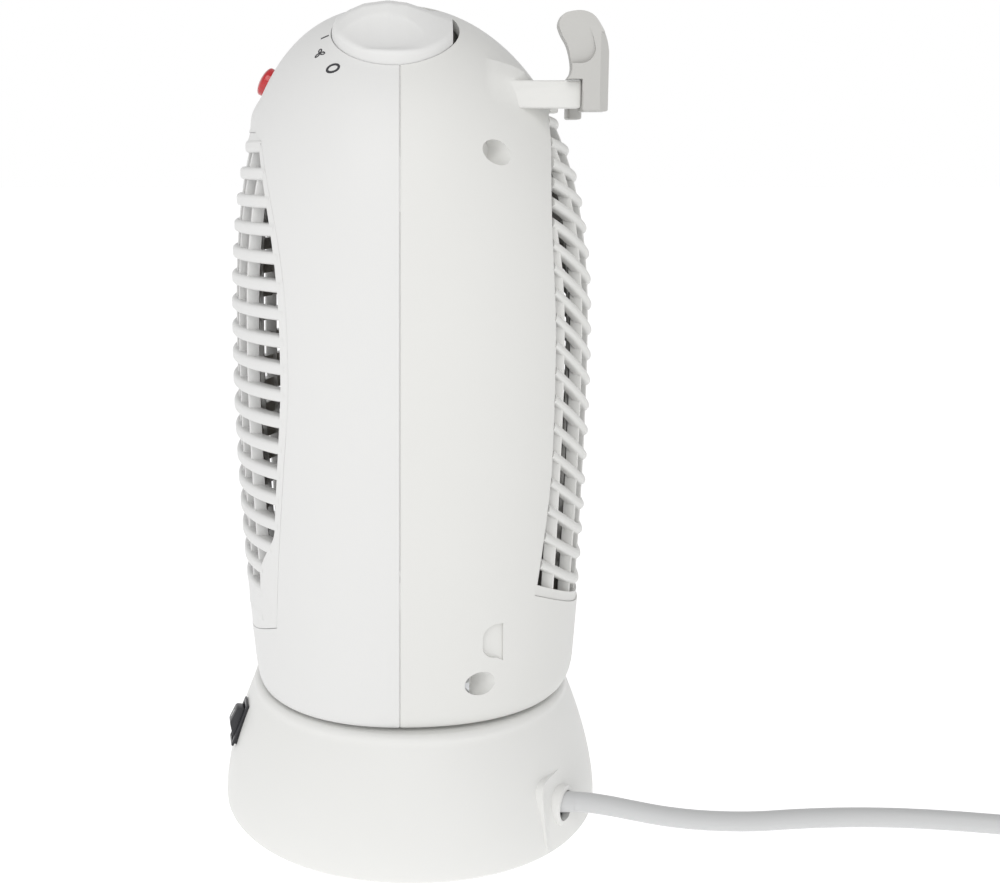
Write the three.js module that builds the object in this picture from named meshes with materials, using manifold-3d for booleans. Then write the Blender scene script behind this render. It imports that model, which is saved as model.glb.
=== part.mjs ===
// Oscillating ceramic space heater, as an assembly of separate pieces.
// Millimetres, +Z up. The origin is on the floor under the swivel axis, at the centre of the base.
// Warm air leaves through the front grille, towards -Y. Room air enters at the rear, +Y.
import * as THREE from 'three';
import { mergeVertices } from 'three/addons/utils/BufferGeometryUtils.js';
import Module from 'manifold-3d';

// ---- Driving dimensions -------------------------------------------------------------------

const GAP = 0.3; // clearance kept between pieces that touch
const WALL = 2.5; // moulded wall thickness

// Upper housing: two half shells that meet on a vertical plane.
const SEAM_Y = -4; // plane where the front and rear shells meet
const HOUSING_BOTTOM_Z = 50.5;
const HOUSING_TOP_Z = 304.5;
const WAIST_Z = 177; // height of the widest section
const SIDE = { widest: 70, taper: 0.00035, rise: 2.7, round: 2.3, lip: 2.0 };
const FRONT = { widest: 63.7, taper: 0.00162, rise: 2.85, round: 2.6, lip: 1.0 };
const REAR = { widest: 72.7, taper: 0.0011, rise: 2.6, round: 2.0, lip: 3.4 };
const TAPER_POWER = 1.75; // how the sides draw in below the waist
const LIP_HEIGHT = 9; // rounded lower edge of the housing
const PLAN_SQUARENESS = 2.2; // 2 is an ellipse, more is squarer
const FLOOR_HOLE_RADIUS = 16;

// Base: a bell with an elliptical plan.
const BASE_HALF_WIDTH = 84.5;
const BASE_HALF_DEPTH = 73.3;
const BASE_TOP_Z = 49;
const BASE_RIM_Z = 0.4;
const BASE_RIM_HEIGHT = 3; // upright stretch at the floor
const BASE_SHRINK = 0.18; // how much smaller the plan is at the top
const BASE_SHRINK_POWER = 1.6;
const BASE_SQUARENESS = 2.1;
const BASE_EDGE = 2; // rounding of the upper edge
const SWIVEL_HOLE_RADIUS = 16;

// Grilles: raised horizontal bars in front, smile-shaped bars behind, on upright ribs.
const BAR_HEIGHT = 4.4;
const BAR_DEPTH = 5;
const RIB_WIDTH = 3;
const RIB_DEPTH = 3.5;
const RIB_XS = [-27, 0, 27];
const FRONT_GRILLE = { bars: 18, topBarZ: 253.5, pitch: 9.52, lowZ: 82, highZ: 261, halfWidth: 56.8 };
const REAR_GRILLE = { bars: 19, topBarZ: 261.3, pitch: 9.6, lowZ: 84, highZ: 267, halfWidth: 49.7 };
const REAR_BAR_SAG = 18; // how much higher a rear bar's ends are than its middle

// Two control knobs on the dome, mirrored, each turning about its own outward axis.
const KNOB_X = 27.8;
const KNOB_Y = SEAM_Y - 1.7;
const KNOB_Z = 289.9;
const KNOB_TILT = THREE.MathUtils.degToRad(24.5);
const KNOB_RADIUS = 22.3;
const KNOB_WELL_RADIUS = 22.9;
const KNOB_CHORD_Y = 20; // the knob's rear end is cut square here
const KNOB_FIN_WIDTH = 8;
const KNOB_SKIRT_HEIGHT = 5;
const KNOB_FIN_HEIGHT = 14.4;
const SPINDLE_RADIUS = 3;

// Carry handle: two arms on the rear shell, a grip across them and a cord hook on one side.
const ARM = { inner: 31, outer: 41, lowZ: 266.6, highZ: 276, endY: 58.4 };
const GRIP = { inner: 30, outer: 44, lowZ: 265.4, highZ: 276.6, startY: 58.7, endY: 67.8 };
const GRIP_BAR_LOW_Z = 271;
const GRIP_SCREW = { x: 36, z: 270.5, headY: 64.8, tipY: 50 };

// Air path inside the housing, along Y, centred at this height.
const FAN_Z = 165;
const DUCT = { halfWidth: 50, halfHeight: 62, startY: -40, endY: 20 };
const FAN_RADIUS = 45;
const HUB_RADIUS = 14;
const BLADE_COUNT = 7;
const MOTOR_RADIUS = 22;

// Oscillating drive in the base.
const CRANK_Y = 30; // crank axis behind the swivel axis
const CRANK_THROW = 17;

// Screws and feet under the base, as [x, y].
const SCREW_PLACES = [[60, 22], [-60, 22], [60, -22], [-60, -22]];
const FOOT_PLACES = [[46, 46], [-46, 46], [46, -46], [-46, -46]];
const FOOT_RADIUS = 7;

// Rocker switch on the base.
const ROCKER = { x: 16, z: 31.6, turn: 9.5, lean: 22, halfWidth: 5.25, halfLength: 8.6 };
const ROCKER_FLANGE = { low: 0.35, high: 1.35 };
const ROCKER_DEPTH = 11;

// Screws that hold the two shells together, driven from behind.
const SHELL_SCREWS = [
  { x: 55, z: 251.5 },
  { x: 62, z: 65 },
];
const SCREW_BORE_RADIUS = 4;

// Mains cord.
const CORD_RADIUS = 3.65;
const CORD_FLOOR_Z = CORD_RADIUS + 0.05;
const CORD_HOLE = { x: 53.5, y: 55.8, z: 15 };
const CORD_HOLE_RADIUS = 5.6;
const CORD_HOLE_TURN = 28; // degrees between the hole's axis and +Y
const PLUG = { x: 52, y: 363 };
const PLUG_PINS = [[-2, 30, 4, 8, 20], [-14.5, 10, 6.3, 4, 16], [8.2, 10, 6.3, 4, 16]];
const COIL = { x: 8, y: 298, innerRadius: 36.2, outerRadius: 51.5, height: 15 };

// ---- Solids -------------------------------------------------------------------------------

const wasm = await Module();
wasm.setup();

// Turns a closed three.js geometry into a solid, with its faces outward.
function solid(geometry) {
  const bare = new THREE.BufferGeometry();
  bare.setAttribute('position', geometry.getAttribute('position').clone());
  if (geometry.index) bare.setIndex(geometry.index.clone());
  const welded = mergeVertices(bare, 1e-4);
  const corners = new Float32Array(welded.getAttribute('position').array);
  const triangles = outwardTriangles(corners, welded.index.array);
  return new wasm.Manifold(new wasm.Mesh({ numProp: 3, vertProperties: corners, triVerts: triangles }));
}

// Drops collapsed triangles and turns the rest over if they enclose a negative volume.
function outwardTriangles(corners, index) {
  const kept = [];
  let volume = 0;
  for (let i = 0; i < index.length; i += 3) {
    const [a, b, c] = [index[i], index[i + 1], index[i + 2]];
    if (a === b || b === c || c === a) continue;
    kept.push([a, b, c]);
    const [p, q, r] = [a, b, c].map((n) => new THREE.Vector3().fromArray(corners, n * 3));
    volume += p.dot(q.cross(r));
  }
  const ordered = volume < 0 ? kept.map(([a, b, c]) => [a, c, b]) : kept;
  return new Uint32Array(ordered.flat());
}

function join(...solids) {
  return solids.reduce((whole, next) => whole.add(next));
}

function cut(whole, ...tools) {
  return tools.reduce((rest, tool) => rest.subtract(tool), whole);
}

function toGeometry(manifold) {
  const mesh = manifold.getMesh();
  const geometry = new THREE.BufferGeometry();
  geometry.setAttribute('position', new THREE.BufferAttribute(new Float32Array(mesh.vertProperties), 3));
  geometry.setIndex(new THREE.BufferAttribute(new Uint32Array(mesh.triVerts), 1));
  return geometry;
}

function block(x0, x1, y0, y1, z0, z1) {
  const geometry = new THREE.BoxGeometry(x1 - x0, y1 - y0, z1 - z0);
  geometry.translate((x0 + x1) / 2, (y0 + y1) / 2, (z0 + z1) / 2);
  return solid(geometry);
}

// Cylinder or cone between two points.
function rod(from, to, radius, segments = 16, endRadius = radius) {
  const along = new THREE.Vector3().subVectors(to, from);
  const geometry = new THREE.CylinderGeometry(endRadius, radius, along.length(), segments);
  geometry.translate(0, along.length() / 2, 0);
  const turn = new THREE.Quaternion().setFromUnitVectors(new THREE.Vector3(0, 1, 0), along.normalize());
  geometry.applyQuaternion(turn);
  geometry.translate(from.x, from.y, from.z);
  return solid(geometry);
}

function rodZ(x, y, z0, z1, radius, segments) {
  return rod(new THREE.Vector3(x, y, z0), new THREE.Vector3(x, y, z1), radius, segments);
}

function rodY(x, y0, y1, z, radius, segments) {
  return rod(new THREE.Vector3(x, y0, z), new THREE.Vector3(x, y1, z), radius, segments);
}

// Solid of revolution about +Z from [radius, height] pairs.
function turned(profile, segments = 24) {
  const points = profile.map(([radius, height]) => new THREE.Vector2(radius, height));
  const geometry = new THREE.LatheGeometry(points, segments);
  geometry.rotateX(Math.PI / 2);
  return solid(geometry);
}

// Prism along Z of an outline of [x, y] pairs.
function prismZ(outline, z0, z1) {
  const shape = new THREE.Shape(outline.map(([x, y]) => new THREE.Vector2(x, y)));
  const geometry = new THREE.ExtrudeGeometry(shape, { depth: z1 - z0, bevelEnabled: false });
  geometry.translate(0, 0, z0);
  return solid(geometry);
}

// Prism along Y of an outline of [x, z] pairs.
function prismY(outline, y0, y1) {
  return prismZ(outline.map(([x, z]) => [x, -z]), y0, y1).rotate([-90, 0, 0]);
}

// Prism along X of an outline of [y, z] pairs.
function prismX(outline, x0, x1) {
  return prismZ(outline, x0, x1).rotate([90, 0, 90]);
}

// Skin stretched over rings of equal point counts, closed at both ends.
function loft(rings) {
  const count = rings[0].length;
  const corners = rings.flat();
  const index = [];
  for (let k = 0; k + 1 < rings.length; k++) {
    for (let i = 0; i < count; i++) {
      const [a, b] = [k * count + i, k * count + ((i + 1) % count)];
      index.push(a, b, b + count, a, b + count, a + count);
    }
  }
  closeEnd(corners, index, rings[0], 0, true);
  closeEnd(corners, index, rings.at(-1), (rings.length - 1) * count, false);
  const geometry = new THREE.BufferGeometry().setFromPoints(corners);
  geometry.setIndex(index);
  return solid(geometry);
}

function closeEnd(corners, index, ring, first, reversed) {
  const centre = new THREE.Vector3();
  ring.forEach((point) => centre.addScaledVector(point, 1 / ring.length));
  corners.push(centre);
  for (let i = 0; i < ring.length; i++) {
    const [a, b] = [first + i, first + ((i + 1) % ring.length)];
    index.push(corners.length - 1, reversed ? b : a, reversed ? a : b);
  }
}

// ---- Housing and base surfaces ------------------------------------------------------------

// How far the housing reaches from its centre in one direction, at one height.
function reach(direction, z) {
  const { widest, taper, rise, round, lip } = direction;
  if (z > WAIST_Z) {
    const part = Math.min(1, (z - WAIST_Z) / (HOUSING_TOP_Z - WAIST_Z));
    return widest * (1 - part ** rise) ** (1 / round);
  }
  const drop = Math.max(0, HOUSING_BOTTOM_Z + LIP_HEIGHT - z) / LIP_HEIGHT;
  return widest - taper * (WAIST_Z - z) ** TAPER_POWER - lip * (1 - Math.sqrt(1 - Math.min(1, drop) ** 2));
}

function power(value, exponent) {
  return Math.sign(value) * Math.abs(value) ** exponent;
}

// One horizontal ring of the housing, moved inward by an inset.
function housingRing(z, inset, count, ringZ = z) {
  const ring = [];
  for (let i = 0; i < count; i++) {
    const angle = (i / count) * 2 * Math.PI;
    const depth = reach(Math.sin(angle) < 0 ? FRONT : REAR, z);
    const x = Math.max(0, reach(SIDE, z) - inset) * power(Math.cos(angle), 2 / PLAN_SQUARENESS);
    const y = Math.max(0, depth - inset) * power(Math.sin(angle), 2 / PLAN_SQUARENESS);
    ring.push(new THREE.Vector3(x, SEAM_Y + y, ringZ));
  }
  return ring;
}

// Where the housing's surface is at (x, z): negative Y in front, positive behind.
function surfaceY(direction, x, z) {
  const across = Math.min(1, Math.abs(x) / reach(SIDE, z));
  const depth = reach(direction, z) * (1 - across ** PLAN_SQUARENESS) ** (1 / PLAN_SQUARENESS);
  return SEAM_Y + (direction === FRONT ? -depth : depth);
}

function housingHeights() {
  const heights = [0, 0.1, 0.3, 0.6, 1].map((part) => HOUSING_BOTTOM_Z + part * LIP_HEIGHT);
  for (let z = 85; z < WAIST_Z; z += 30) heights.push(z);
  const domeRings = 8;
  for (let k = 0; k <= domeRings; k++) {
    heights.push(WAIST_Z + (HOUSING_TOP_Z - WAIST_Z) * Math.sin((k / domeRings) * Math.PI / 2));
  }
  return heights;
}

function housingOuter() {
  return loft(housingHeights().map((z) => housingRing(z, 0, 28)));
}

function housingInner() {
  const heights = housingHeights().filter((z) => z > HOUSING_BOTTOM_Z + WALL);
  const rings = heights.map((z) => {
    const rise = Math.max(0, z - WAIST_Z) / (HOUSING_TOP_Z - WAIST_Z);
    return housingRing(z, WALL, 20, z - WALL * rise);
  });
  rings.unshift(housingRing(HOUSING_BOTTOM_Z + WALL, WALL + 1, 20));
  return loft(rings);
}

function baseScale(z) {
  const part = Math.max(0, z - BASE_RIM_HEIGHT) / (BASE_TOP_Z + 1 - BASE_RIM_HEIGHT);
  return 1 - BASE_SHRINK * part ** BASE_SHRINK_POWER;
}

function baseRing(z, inset, count) {
  const ring = [];
  for (let i = 0; i < count; i++) {
    const angle = (i / count) * 2 * Math.PI;
    const x = (BASE_HALF_WIDTH * baseScale(z) - inset) * power(Math.cos(angle), 2 / BASE_SQUARENESS);
    const y = (BASE_HALF_DEPTH * baseScale(z) - inset) * power(Math.sin(angle), 2 / BASE_SQUARENESS);
    ring.push(new THREE.Vector3(x, y, z));
  }
  return ring;
}

// ---- Housing shells -----------------------------------------------------------------------

// Half width of the front opening: widest at the waist, drawn in above and below.
function frontGrilleHalfWidth(z) {
  const narrowing = z > 172 ? 20.9 * ((z - 172) / 83) ** 3 : 12.9 * ((172 - z) / 91) ** 1.4;
  return FRONT_GRILLE.halfWidth - narrowing;
}

// Half width of the rear opening: straight sides that close in at the top and flare at the bottom.
function rearGrilleHalfWidth(z) {
  const narrowing = 15 * (Math.max(0, z - 190) / 64.7) ** 3.3;
  const flare = 3.7 * (Math.max(0, 140 - z) / 46.6) ** 1.2;
  return REAR_GRILLE.halfWidth - narrowing + flare;
}

// Rear bars curve like a smile, most of all at mid height.
function rearBarLift(x, centreZ) {
  const fromMiddle = (centreZ - 165) / (centreZ > 165 ? 109 : 168);
  return REAR_BAR_SAG * (1 - fromMiddle ** 2) * (x / 46) ** 2;
}

// Outline of a grille opening, symmetric about the middle plane.
function openingOutline(grille, halfWidth) {
  const right = [];
  const steps = 16;
  for (let k = 0; k <= steps; k++) {
    const z = grille.lowZ + ((grille.highZ - grille.lowZ) * k) / steps;
    right.push([halfWidth(z), z]);
  }
  const left = right.map(([x, z]) => [-x, z]).reverse();
  return [...right, ...left];
}

// Solid post around a shell screw, inside the housing.
function screwPost(screw, side, radius, startY, endY) {
  return rodY(side * screw.x, startY, endY, screw.z, radius, 12);
}

function screwPosts(startY, endY) {
  const posts = SHELL_SCREWS.flatMap((screw) =>
    [-1, 1].map((side) => screwPost(screw, side, 6.5, startY, endY)));
  return join(...posts);
}

function knobWells() {
  const wells = [-1, 1].map((side) => {
    const tilt = new THREE.Vector3(side * Math.sin(KNOB_TILT), 0, Math.cos(KNOB_TILT));
    const centre = new THREE.Vector3(side * KNOB_X, KNOB_Y, KNOB_Z);
    const low = centre.clone().addScaledVector(tilt, -12);
    const high = centre.clone().addScaledVector(tilt, 20);
    return rod(low, high, KNOB_WELL_RADIUS, 32);
  });
  return join(...wells);
}

// The closed skin of the whole housing, before it is split into shells.
function housingSkin(outer) {
  const skin = cut(outer, housingInner());
  const posts = screwPosts(-18, 60).intersect(outer);
  const swivelHole = rodZ(0, 0, HOUSING_BOTTOM_Z - 1, HOUSING_BOTTOM_Z + WALL + 1, FLOOR_HOLE_RADIUS, 24);
  return cut(join(skin, posts), swivelHole, knobWells());
}

function lensSeat() {
  const z = 278;
  const lean = THREE.MathUtils.degToRad(29);
  const normal = new THREE.Vector3(0, -Math.cos(lean), Math.sin(lean));
  return { centre: new THREE.Vector3(0, surfaceY(FRONT, 0, z), z), normal };
}

function frontShell(skin) {
  const half = skin.intersect(block(-90, 90, -90, SEAM_Y - GAP / 2, 0, 320));
  const opening = prismY(openingOutline(FRONT_GRILLE, frontGrilleHalfWidth), -90, -25);
  const { centre, normal } = lensSeat();
  const low = centre.clone().addScaledVector(normal, -10);
  const high = centre.clone().addScaledVector(normal, 10);
  const pilots = SHELL_SCREWS.flatMap((screw) => [-1, 1].map((side) => screwPost(screw, side, 1.9, -17, 0)));
  return cut(half, opening, rod(low, high, 5.9, 20), ...pilots);
}

function handleArms() {
  const arms = [-1, 1].map((side) => {
    const [x0, x1] = [side * ARM.inner, side * ARM.outer].sort((a, b) => a - b);
    const start = surfaceY(REAR, ARM.outer, ARM.lowZ) - 12;
    const arm = block(x0, x1, start, ARM.endY, ARM.lowZ, ARM.highZ);
    return cut(arm, rodY(side * GRIP_SCREW.x, GRIP_SCREW.tipY - 1, ARM.endY + 1, GRIP_SCREW.z, 1.5, 10));
  });
  return join(...arms);
}

function rearShell(skin) {
  const half = skin.intersect(block(-90, 90, SEAM_Y + GAP / 2, 90, 0, 320));
  const opening = prismY(openingOutline(REAR_GRILLE, rearGrilleHalfWidth), 20, 90);
  const bores = SHELL_SCREWS.flatMap((screw) => [
    ...[-1, 1].map((side) => screwPost(screw, side, SCREW_BORE_RADIUS, 18, 70)),
    ...[-1, 1].map((side) => screwPost(screw, side, 2.2, -5, 19)),
  ]);
  return join(cut(half, opening, ...bores), cut(handleArms(), housingInner()));
}

// Low bar across both arms, an end block on each, and a cord hook standing on the right one.
function handleGrip() {
  const { inner, outer, lowZ, highZ, startY, endY } = GRIP;
  const bar = block(-outer, outer, startY, endY, GRIP_BAR_LOW_Z, highZ);
  const ends = [
    block(inner, outer, startY, endY, lowZ, highZ),
    block(-outer, -inner, startY, endY, lowZ, highZ),
  ];
  const bores = [-1, 1].flatMap((side) => [
    rodY(side * GRIP_SCREW.x, startY - 1, endY + 1, GRIP_SCREW.z, 1.5, 10),
    rodY(side * GRIP_SCREW.x, GRIP_SCREW.headY, endY + 1, GRIP_SCREW.z, 2.8, 12),
  ]);
  return cut(join(bar, ...ends, cordHook()), ...bores);
}

// Hook in side view: upright at the rear, its lip curling forward at the top.
function cordHook() {
  const outline = [
    [GRIP.startY, GRIP.highZ], [55.5, 281], [54.2, 286.4], [51.7, 291], [50.9, 295], [52.4, 298], [55.2, 299.2],
    [58.8, 299.2], [62.2, 297.6], [65, 293.6], [67, 289.4], [GRIP.endY, 285.6], [GRIP.endY, GRIP.highZ - 3],
    [GRIP.startY, GRIP.highZ - 3],
  ];
  return prismX(outline, GRIP.inner, GRIP.outer);
}

// Screw along Y with its head at the rear, as [x, z] place and the Y of head and tip.
function screwY(x, z, headY, tipY, radius) {
  const shank = rodY(x, tipY, headY, z, radius, 10);
  return join(shank, rodY(x, headY - 0.2, headY + radius * 1.3, z, radius * 2, 12));
}

// ---- Grilles ------------------------------------------------------------------------------

// A bar across the grille: rectangular sections set along the housing's surface.
function grilleBar(direction, centreZ, halfLength, lift) {
  const rings = [];
  const steps = 6;
  for (let k = 0; k <= steps; k++) {
    const x = halfLength * ((2 * k) / steps - 1);
    const z = centreZ + lift(x, centreZ);
    const outer = surfaceY(direction, x, z);
    const inner = outer - Math.sign(outer) * BAR_DEPTH;
    const half = BAR_HEIGHT / 2;
    rings.push([[outer, -half], [outer, half], [inner, half], [inner, -half]]
      .map(([y, dz]) => new THREE.Vector3(x, y, z + dz)));
  }
  return loft(rings);
}

// An upright rib behind the bars, at one x.
function grilleRib(direction, x, lowZ, highZ) {
  const rings = [];
  const steps = 6;
  for (let k = 0; k <= steps; k++) {
    const z = lowZ + ((highZ - lowZ) * k) / steps;
    const surface = surfaceY(direction, x, z);
    const outer = surface - Math.sign(surface) * (BAR_DEPTH - 1);
    const inner = outer - Math.sign(surface) * RIB_DEPTH;
    rings.push([[-1, outer], [1, outer], [1, inner], [-1, inner]]
      .map(([side, y]) => new THREE.Vector3(x + (side * RIB_WIDTH) / 2, y, z)));
  }
  return loft(rings);
}

// Every bar's middle height and half length, from the top down.
function grilleRows(size, halfWidth, lift) {
  const rows = [];
  for (let i = 0; i < size.bars; i++) {
    const z = size.topBarZ - i * size.pitch;
    const endZ = z + lift(halfWidth(z), z);
    const half = Math.min(halfWidth(endZ - BAR_HEIGHT / 2), halfWidth(endZ + BAR_HEIGHT / 2)) - 2 * GAP;
    rows.push({ z, half });
  }
  return rows;
}

function grille(direction, size, halfWidth, lift) {
  const rows = grilleRows(size, halfWidth, lift);
  const bars = rows.map(({ z, half }) => grilleBar(direction, z, half, lift));
  const ribs = RIB_XS.map((x) => {
    const crossed = rows.filter(({ half }) => half > Math.abs(x) + RIB_WIDTH / 2);
    const [top, bottom] = [crossed[0].z, crossed.at(-1).z];
    const lowZ = bottom + lift(x, bottom) - BAR_HEIGHT / 2;
    return grilleRib(direction, x, lowZ, top + lift(x, top) + BAR_HEIGHT / 2);
  });
  return join(...bars, ...ribs);
}

// ---- Knobs and controls -------------------------------------------------------------------

// Knob in its own frame: +Z outward, origin at the middle of its rim.
function knob() {
  const cap = turned([
    [0, -3], [KNOB_RADIUS, -3], [KNOB_RADIUS, KNOB_SKIRT_HEIGHT - 1.4], [KNOB_RADIUS - 1.4, KNOB_SKIRT_HEIGHT],
    [0, KNOB_SKIRT_HEIGHT],
  ], 28);
  const fin = prismX([
    [-21, -2], [KNOB_CHORD_Y, -2], [KNOB_CHORD_Y, 7.8], [8, 12.2], [4, 13.6], [-2.5, KNOB_FIN_HEIGHT],
    [-10.7, 13.2], [-16, 10.7], [-21, 3.4],
  ], -KNOB_FIN_WIDTH / 2, KNOB_FIN_WIDTH / 2);
  const squareEnd = block(-30, 30, KNOB_CHORD_Y, 30, -10, 20);
  const socket = rodZ(0, 0, -4, 4, SPINDLE_RADIUS + GAP, 16);
  return cut(join(cap, fin), squareEnd, socket);
}

function spindle() {
  return rodZ(0, 0, -11.7, 3.4, SPINDLE_RADIUS, 16);
}

function modeSwitch() {
  const tabs = [-7, 0, 7].map((x) => block(x - 0.4, x + 0.4, 12.5, 19, -24, -18));
  return join(block(-11, 11, -13, 13, -28, -12), ...tabs);
}

function thermostatBody() {
  return join(rodZ(0, 0, -20, -12, 11, 24), block(-6, 6, -12, 12, -28, -20));
}

// Bent sheet whose two slopes carry the switch and the thermostat.
function controlBracket() {
  const top = [[-46, 254], [-37.6, 254], [-4.6, 269.1], [4.6, 269.1], [37.6, 254], [46, 254]];
  const under = top.map(([x, z]) => [x * 0.97, z - 2.4]).reverse();
  return prismY([...top, ...under], -22, 12);
}

// Domed red lens, with a barrel that passes through the front shell.
function indicatorLens() {
  const profile = [[0, -5], [5.5, -5], [5.5, 0.6], [4.6, 1.6], [2.6, 2.3], [0, 2.5], [0, -5]];
  return onLensAxis(turned(profile.slice(0, -1), 20));
}

function lampHolder() {
  return onLensAxis(join(rodZ(0, 0, -16, -5 - GAP, 3.6, 16), rodZ(0, 0, -9, -5 - GAP, 7, 20)));
}

function onLensAxis(manifold) {
  const { centre, normal } = lensSeat();
  const turn = new THREE.Quaternion().setFromUnitVectors(new THREE.Vector3(0, 0, 1), normal);
  return placed(manifold, new THREE.Matrix4().makeRotationFromQuaternion(turn).setPosition(centre));
}

// ---- Air path -----------------------------------------------------------------------------

function airDuct() {
  const { halfWidth, halfHeight, startY, endY } = DUCT;
  const outer = block(-halfWidth, halfWidth, startY, endY, FAN_Z - halfHeight, FAN_Z + halfHeight);
  const [across, above] = [halfWidth - 2, halfHeight - 2];
  const inner = block(-across, across, startY - 1, endY + 1, FAN_Z - above, FAN_Z + above);
  return cut(outer, inner);
}

function fanShroud() {
  const { halfWidth, halfHeight, endY } = DUCT;
  const plate = block(-halfWidth, halfWidth, endY + GAP, endY + 3, FAN_Z - halfHeight, FAN_Z + halfHeight);
  const ring = rodY(0, endY + GAP, endY + 19, FAN_Z, FAN_RADIUS + 4.5, 32);
  return cut(join(plate, ring), rodY(0, endY - 1, endY + 21, FAN_Z, FAN_RADIUS + 2, 32));
}

// Seven twisted blades on a hub, turning about Y.
function impeller() {
  const hub = rodY(0, 22, 36, FAN_Z, HUB_RADIUS, 20);
  const blades = [];
  for (let i = 0; i < BLADE_COUNT; i++) {
    const blade = block(HUB_RADIUS - 3, FAN_RADIUS, -0.9, 0.9, -11, 11).rotate([32, 0, 0]);
    blades.push(blade.rotate([0, (i * 360) / BLADE_COUNT, 0]).translate([0, 29, FAN_Z]));
  }
  const bore = rodY(0, 20, 33, FAN_Z, 2.3, 12);
  return cut(join(hub, ...blades), bore);
}

function fanMotor() {
  const can = rodY(0, -8, 16, FAN_Z, MOTOR_RADIUS, 24);
  const nose = rodY(0, 16, 19, FAN_Z, 9, 16);
  const tail = rodY(0, -10.7, -8, FAN_Z, 9, 16);
  return join(can, nose, tail);
}

// Cross-shaped bracket that carries the motor inside the duct.
function motorMount() {
  const { halfWidth, halfHeight } = DUCT;
  const beam = block(GAP + 2 - halfWidth, halfWidth - 2 - GAP, -16, -13, FAN_Z - 6, FAN_Z + 6);
  const post = block(-6, 6, -16, -13, FAN_Z - halfHeight + 2 + GAP, FAN_Z + halfHeight - 2 - GAP);
  const cup = rodY(0, -16, -4, FAN_Z, MOTOR_RADIUS + 2.5, 24);
  const motorBore = rodY(0, -13, -3, FAN_Z, MOTOR_RADIUS + GAP, 24);
  return cut(join(beam, post, cup), motorBore, rodY(0, -20, 0, FAN_Z, 10, 16));
}

function elementFrame() {
  const outer = block(-47.6, 47.6, -37, -24, FAN_Z - 42, FAN_Z + 42);
  return cut(outer, block(-42, 42, -40, -20, FAN_Z - 36, FAN_Z + 36));
}

// Heating element: three finned banks with ceramic bars between them.
function heatingElement() {
  const banks = [];
  for (let i = 0; i < 3; i++) {
    const low = FAN_Z - 33.2 + i * 24.2;
    for (let k = 0; k < 5; k++) {
      const x = -41 + k * 17;
      banks.push(block(x, x + 14, -34, -27, low, low + 18));
    }
    if (i < 2) banks.push(block(-41.4, 41.4, -33, -28, low + 17.5, low + 24.7));
  }
  const ends = [FAN_Z - 35, FAN_Z + 33].map((z) => block(-41.4, 41.4, -33, -28, z, z + 2));
  return join(...banks, ...ends);
}

// Disc thermostat that cuts the heater off, standing on the duct.
function thermalCutout() {
  const z = FAN_Z + DUCT.halfHeight + GAP;
  const flange = block(-34, -18, -24.5, -19.5, z, z + 1.5);
  return join(rodZ(-26, -22, z, z + 5, 8, 20), flange, block(-27, -25, -24, -20, z, z + 12));
}

// ---- Swivel and drive ---------------------------------------------------------------------

function turntable() {
  const floorZ = HOUSING_BOTTOM_Z + WALL + GAP;
  return turned([
    [10, 38], [14.5, 38], [14.5, floorZ], [30, floorZ], [30, floorZ + 3], [10, floorZ + 3], [10, 38],
  ], 20);
}

function retainingRing() {
  return turned([[14.8, 41.5], [21, 41.5], [21, 44.5], [14.8, 44.5], [14.8, 41.5]], 20);
}

// Low-friction ring that the housing turns on.
function swivelWasher() {
  const low = BASE_TOP_Z + GAP;
  return turned([[17, low], [32, low], [32, low + 0.9], [17, low + 0.9], [17, low]], 20);
}

function slottedArm() {
  const arm = join(block(-8, 8, 0, 52, 34.6, 37.6), rodZ(0, 0, 34.6, 37.6, 14.5, 24));
  return cut(arm, block(-2.6, 2.6, 12.2, 48.5, 30, 40), rodZ(0, 0, 30, 40, 9, 20));
}

function crank() {
  const disc = rodZ(0, CRANK_Y, 26.5, 29.5, CRANK_THROW + 4, 20);
  const pin = rodZ(0, CRANK_Y + CRANK_THROW, 29, 34, 2, 12);
  return cut(join(disc, pin), rodZ(0, CRANK_Y, 25, 28.2, 3.4, 12));
}

function driveMotor() {
  const can = rodZ(0, CRANK_Y, 8, 22, 24, 20);
  const shaft = rodZ(0, CRANK_Y, 20, 28, 3.1, 12);
  const ears = block(-32, 32, CRANK_Y - 5, CRANK_Y + 5, 20, 21.5);
  return join(can, shaft, ears);
}

// Two legs that carry the drive motor's ears above the base plate.
function driveBracket() {
  const legs = [-1, 1].map((side) => {
    const [x0, x1] = [side * 26.5, side * 32].sort((a, b) => a - b);
    return block(x0, x1, CRANK_Y - 6, CRANK_Y + 6, 4.3, 19.7);
  });
  return join(...legs, block(-32, 32, CRANK_Y - 6, CRANK_Y + 6, 4.3, 6.5));
}

// ---- Base ---------------------------------------------------------------------------------

// Frame of the rocker switch: origin on the base's surface, +Z outward, +Y up the slope.
function rockerFrame() {
  const [turn, lean] = [ROCKER.turn, ROCKER.lean].map(THREE.MathUtils.degToRad);
  const level = Math.cos(lean);
  const out = new THREE.Vector3(Math.sin(turn) * level, -Math.cos(turn) * level, Math.sin(lean));
  const across = new THREE.Vector3(Math.cos(turn), Math.sin(turn), 0);
  const up = new THREE.Vector3().crossVectors(out, across);
  const across01 = (ROCKER.x / (BASE_HALF_WIDTH * baseScale(ROCKER.z))) ** BASE_SQUARENESS;
  const y = -BASE_HALF_DEPTH * baseScale(ROCKER.z) * (1 - across01) ** (1 / BASE_SQUARENESS);
  return new THREE.Matrix4().makeBasis(across, up, out).setPosition(ROCKER.x, y, ROCKER.z);
}

function placed(manifold, matrix) {
  return manifold.transform(matrix.elements);
}

function cordHoleAxis() {
  const turn = THREE.MathUtils.degToRad(CORD_HOLE_TURN);
  return new THREE.Vector3(Math.sin(turn), Math.cos(turn), 0);
}

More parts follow.
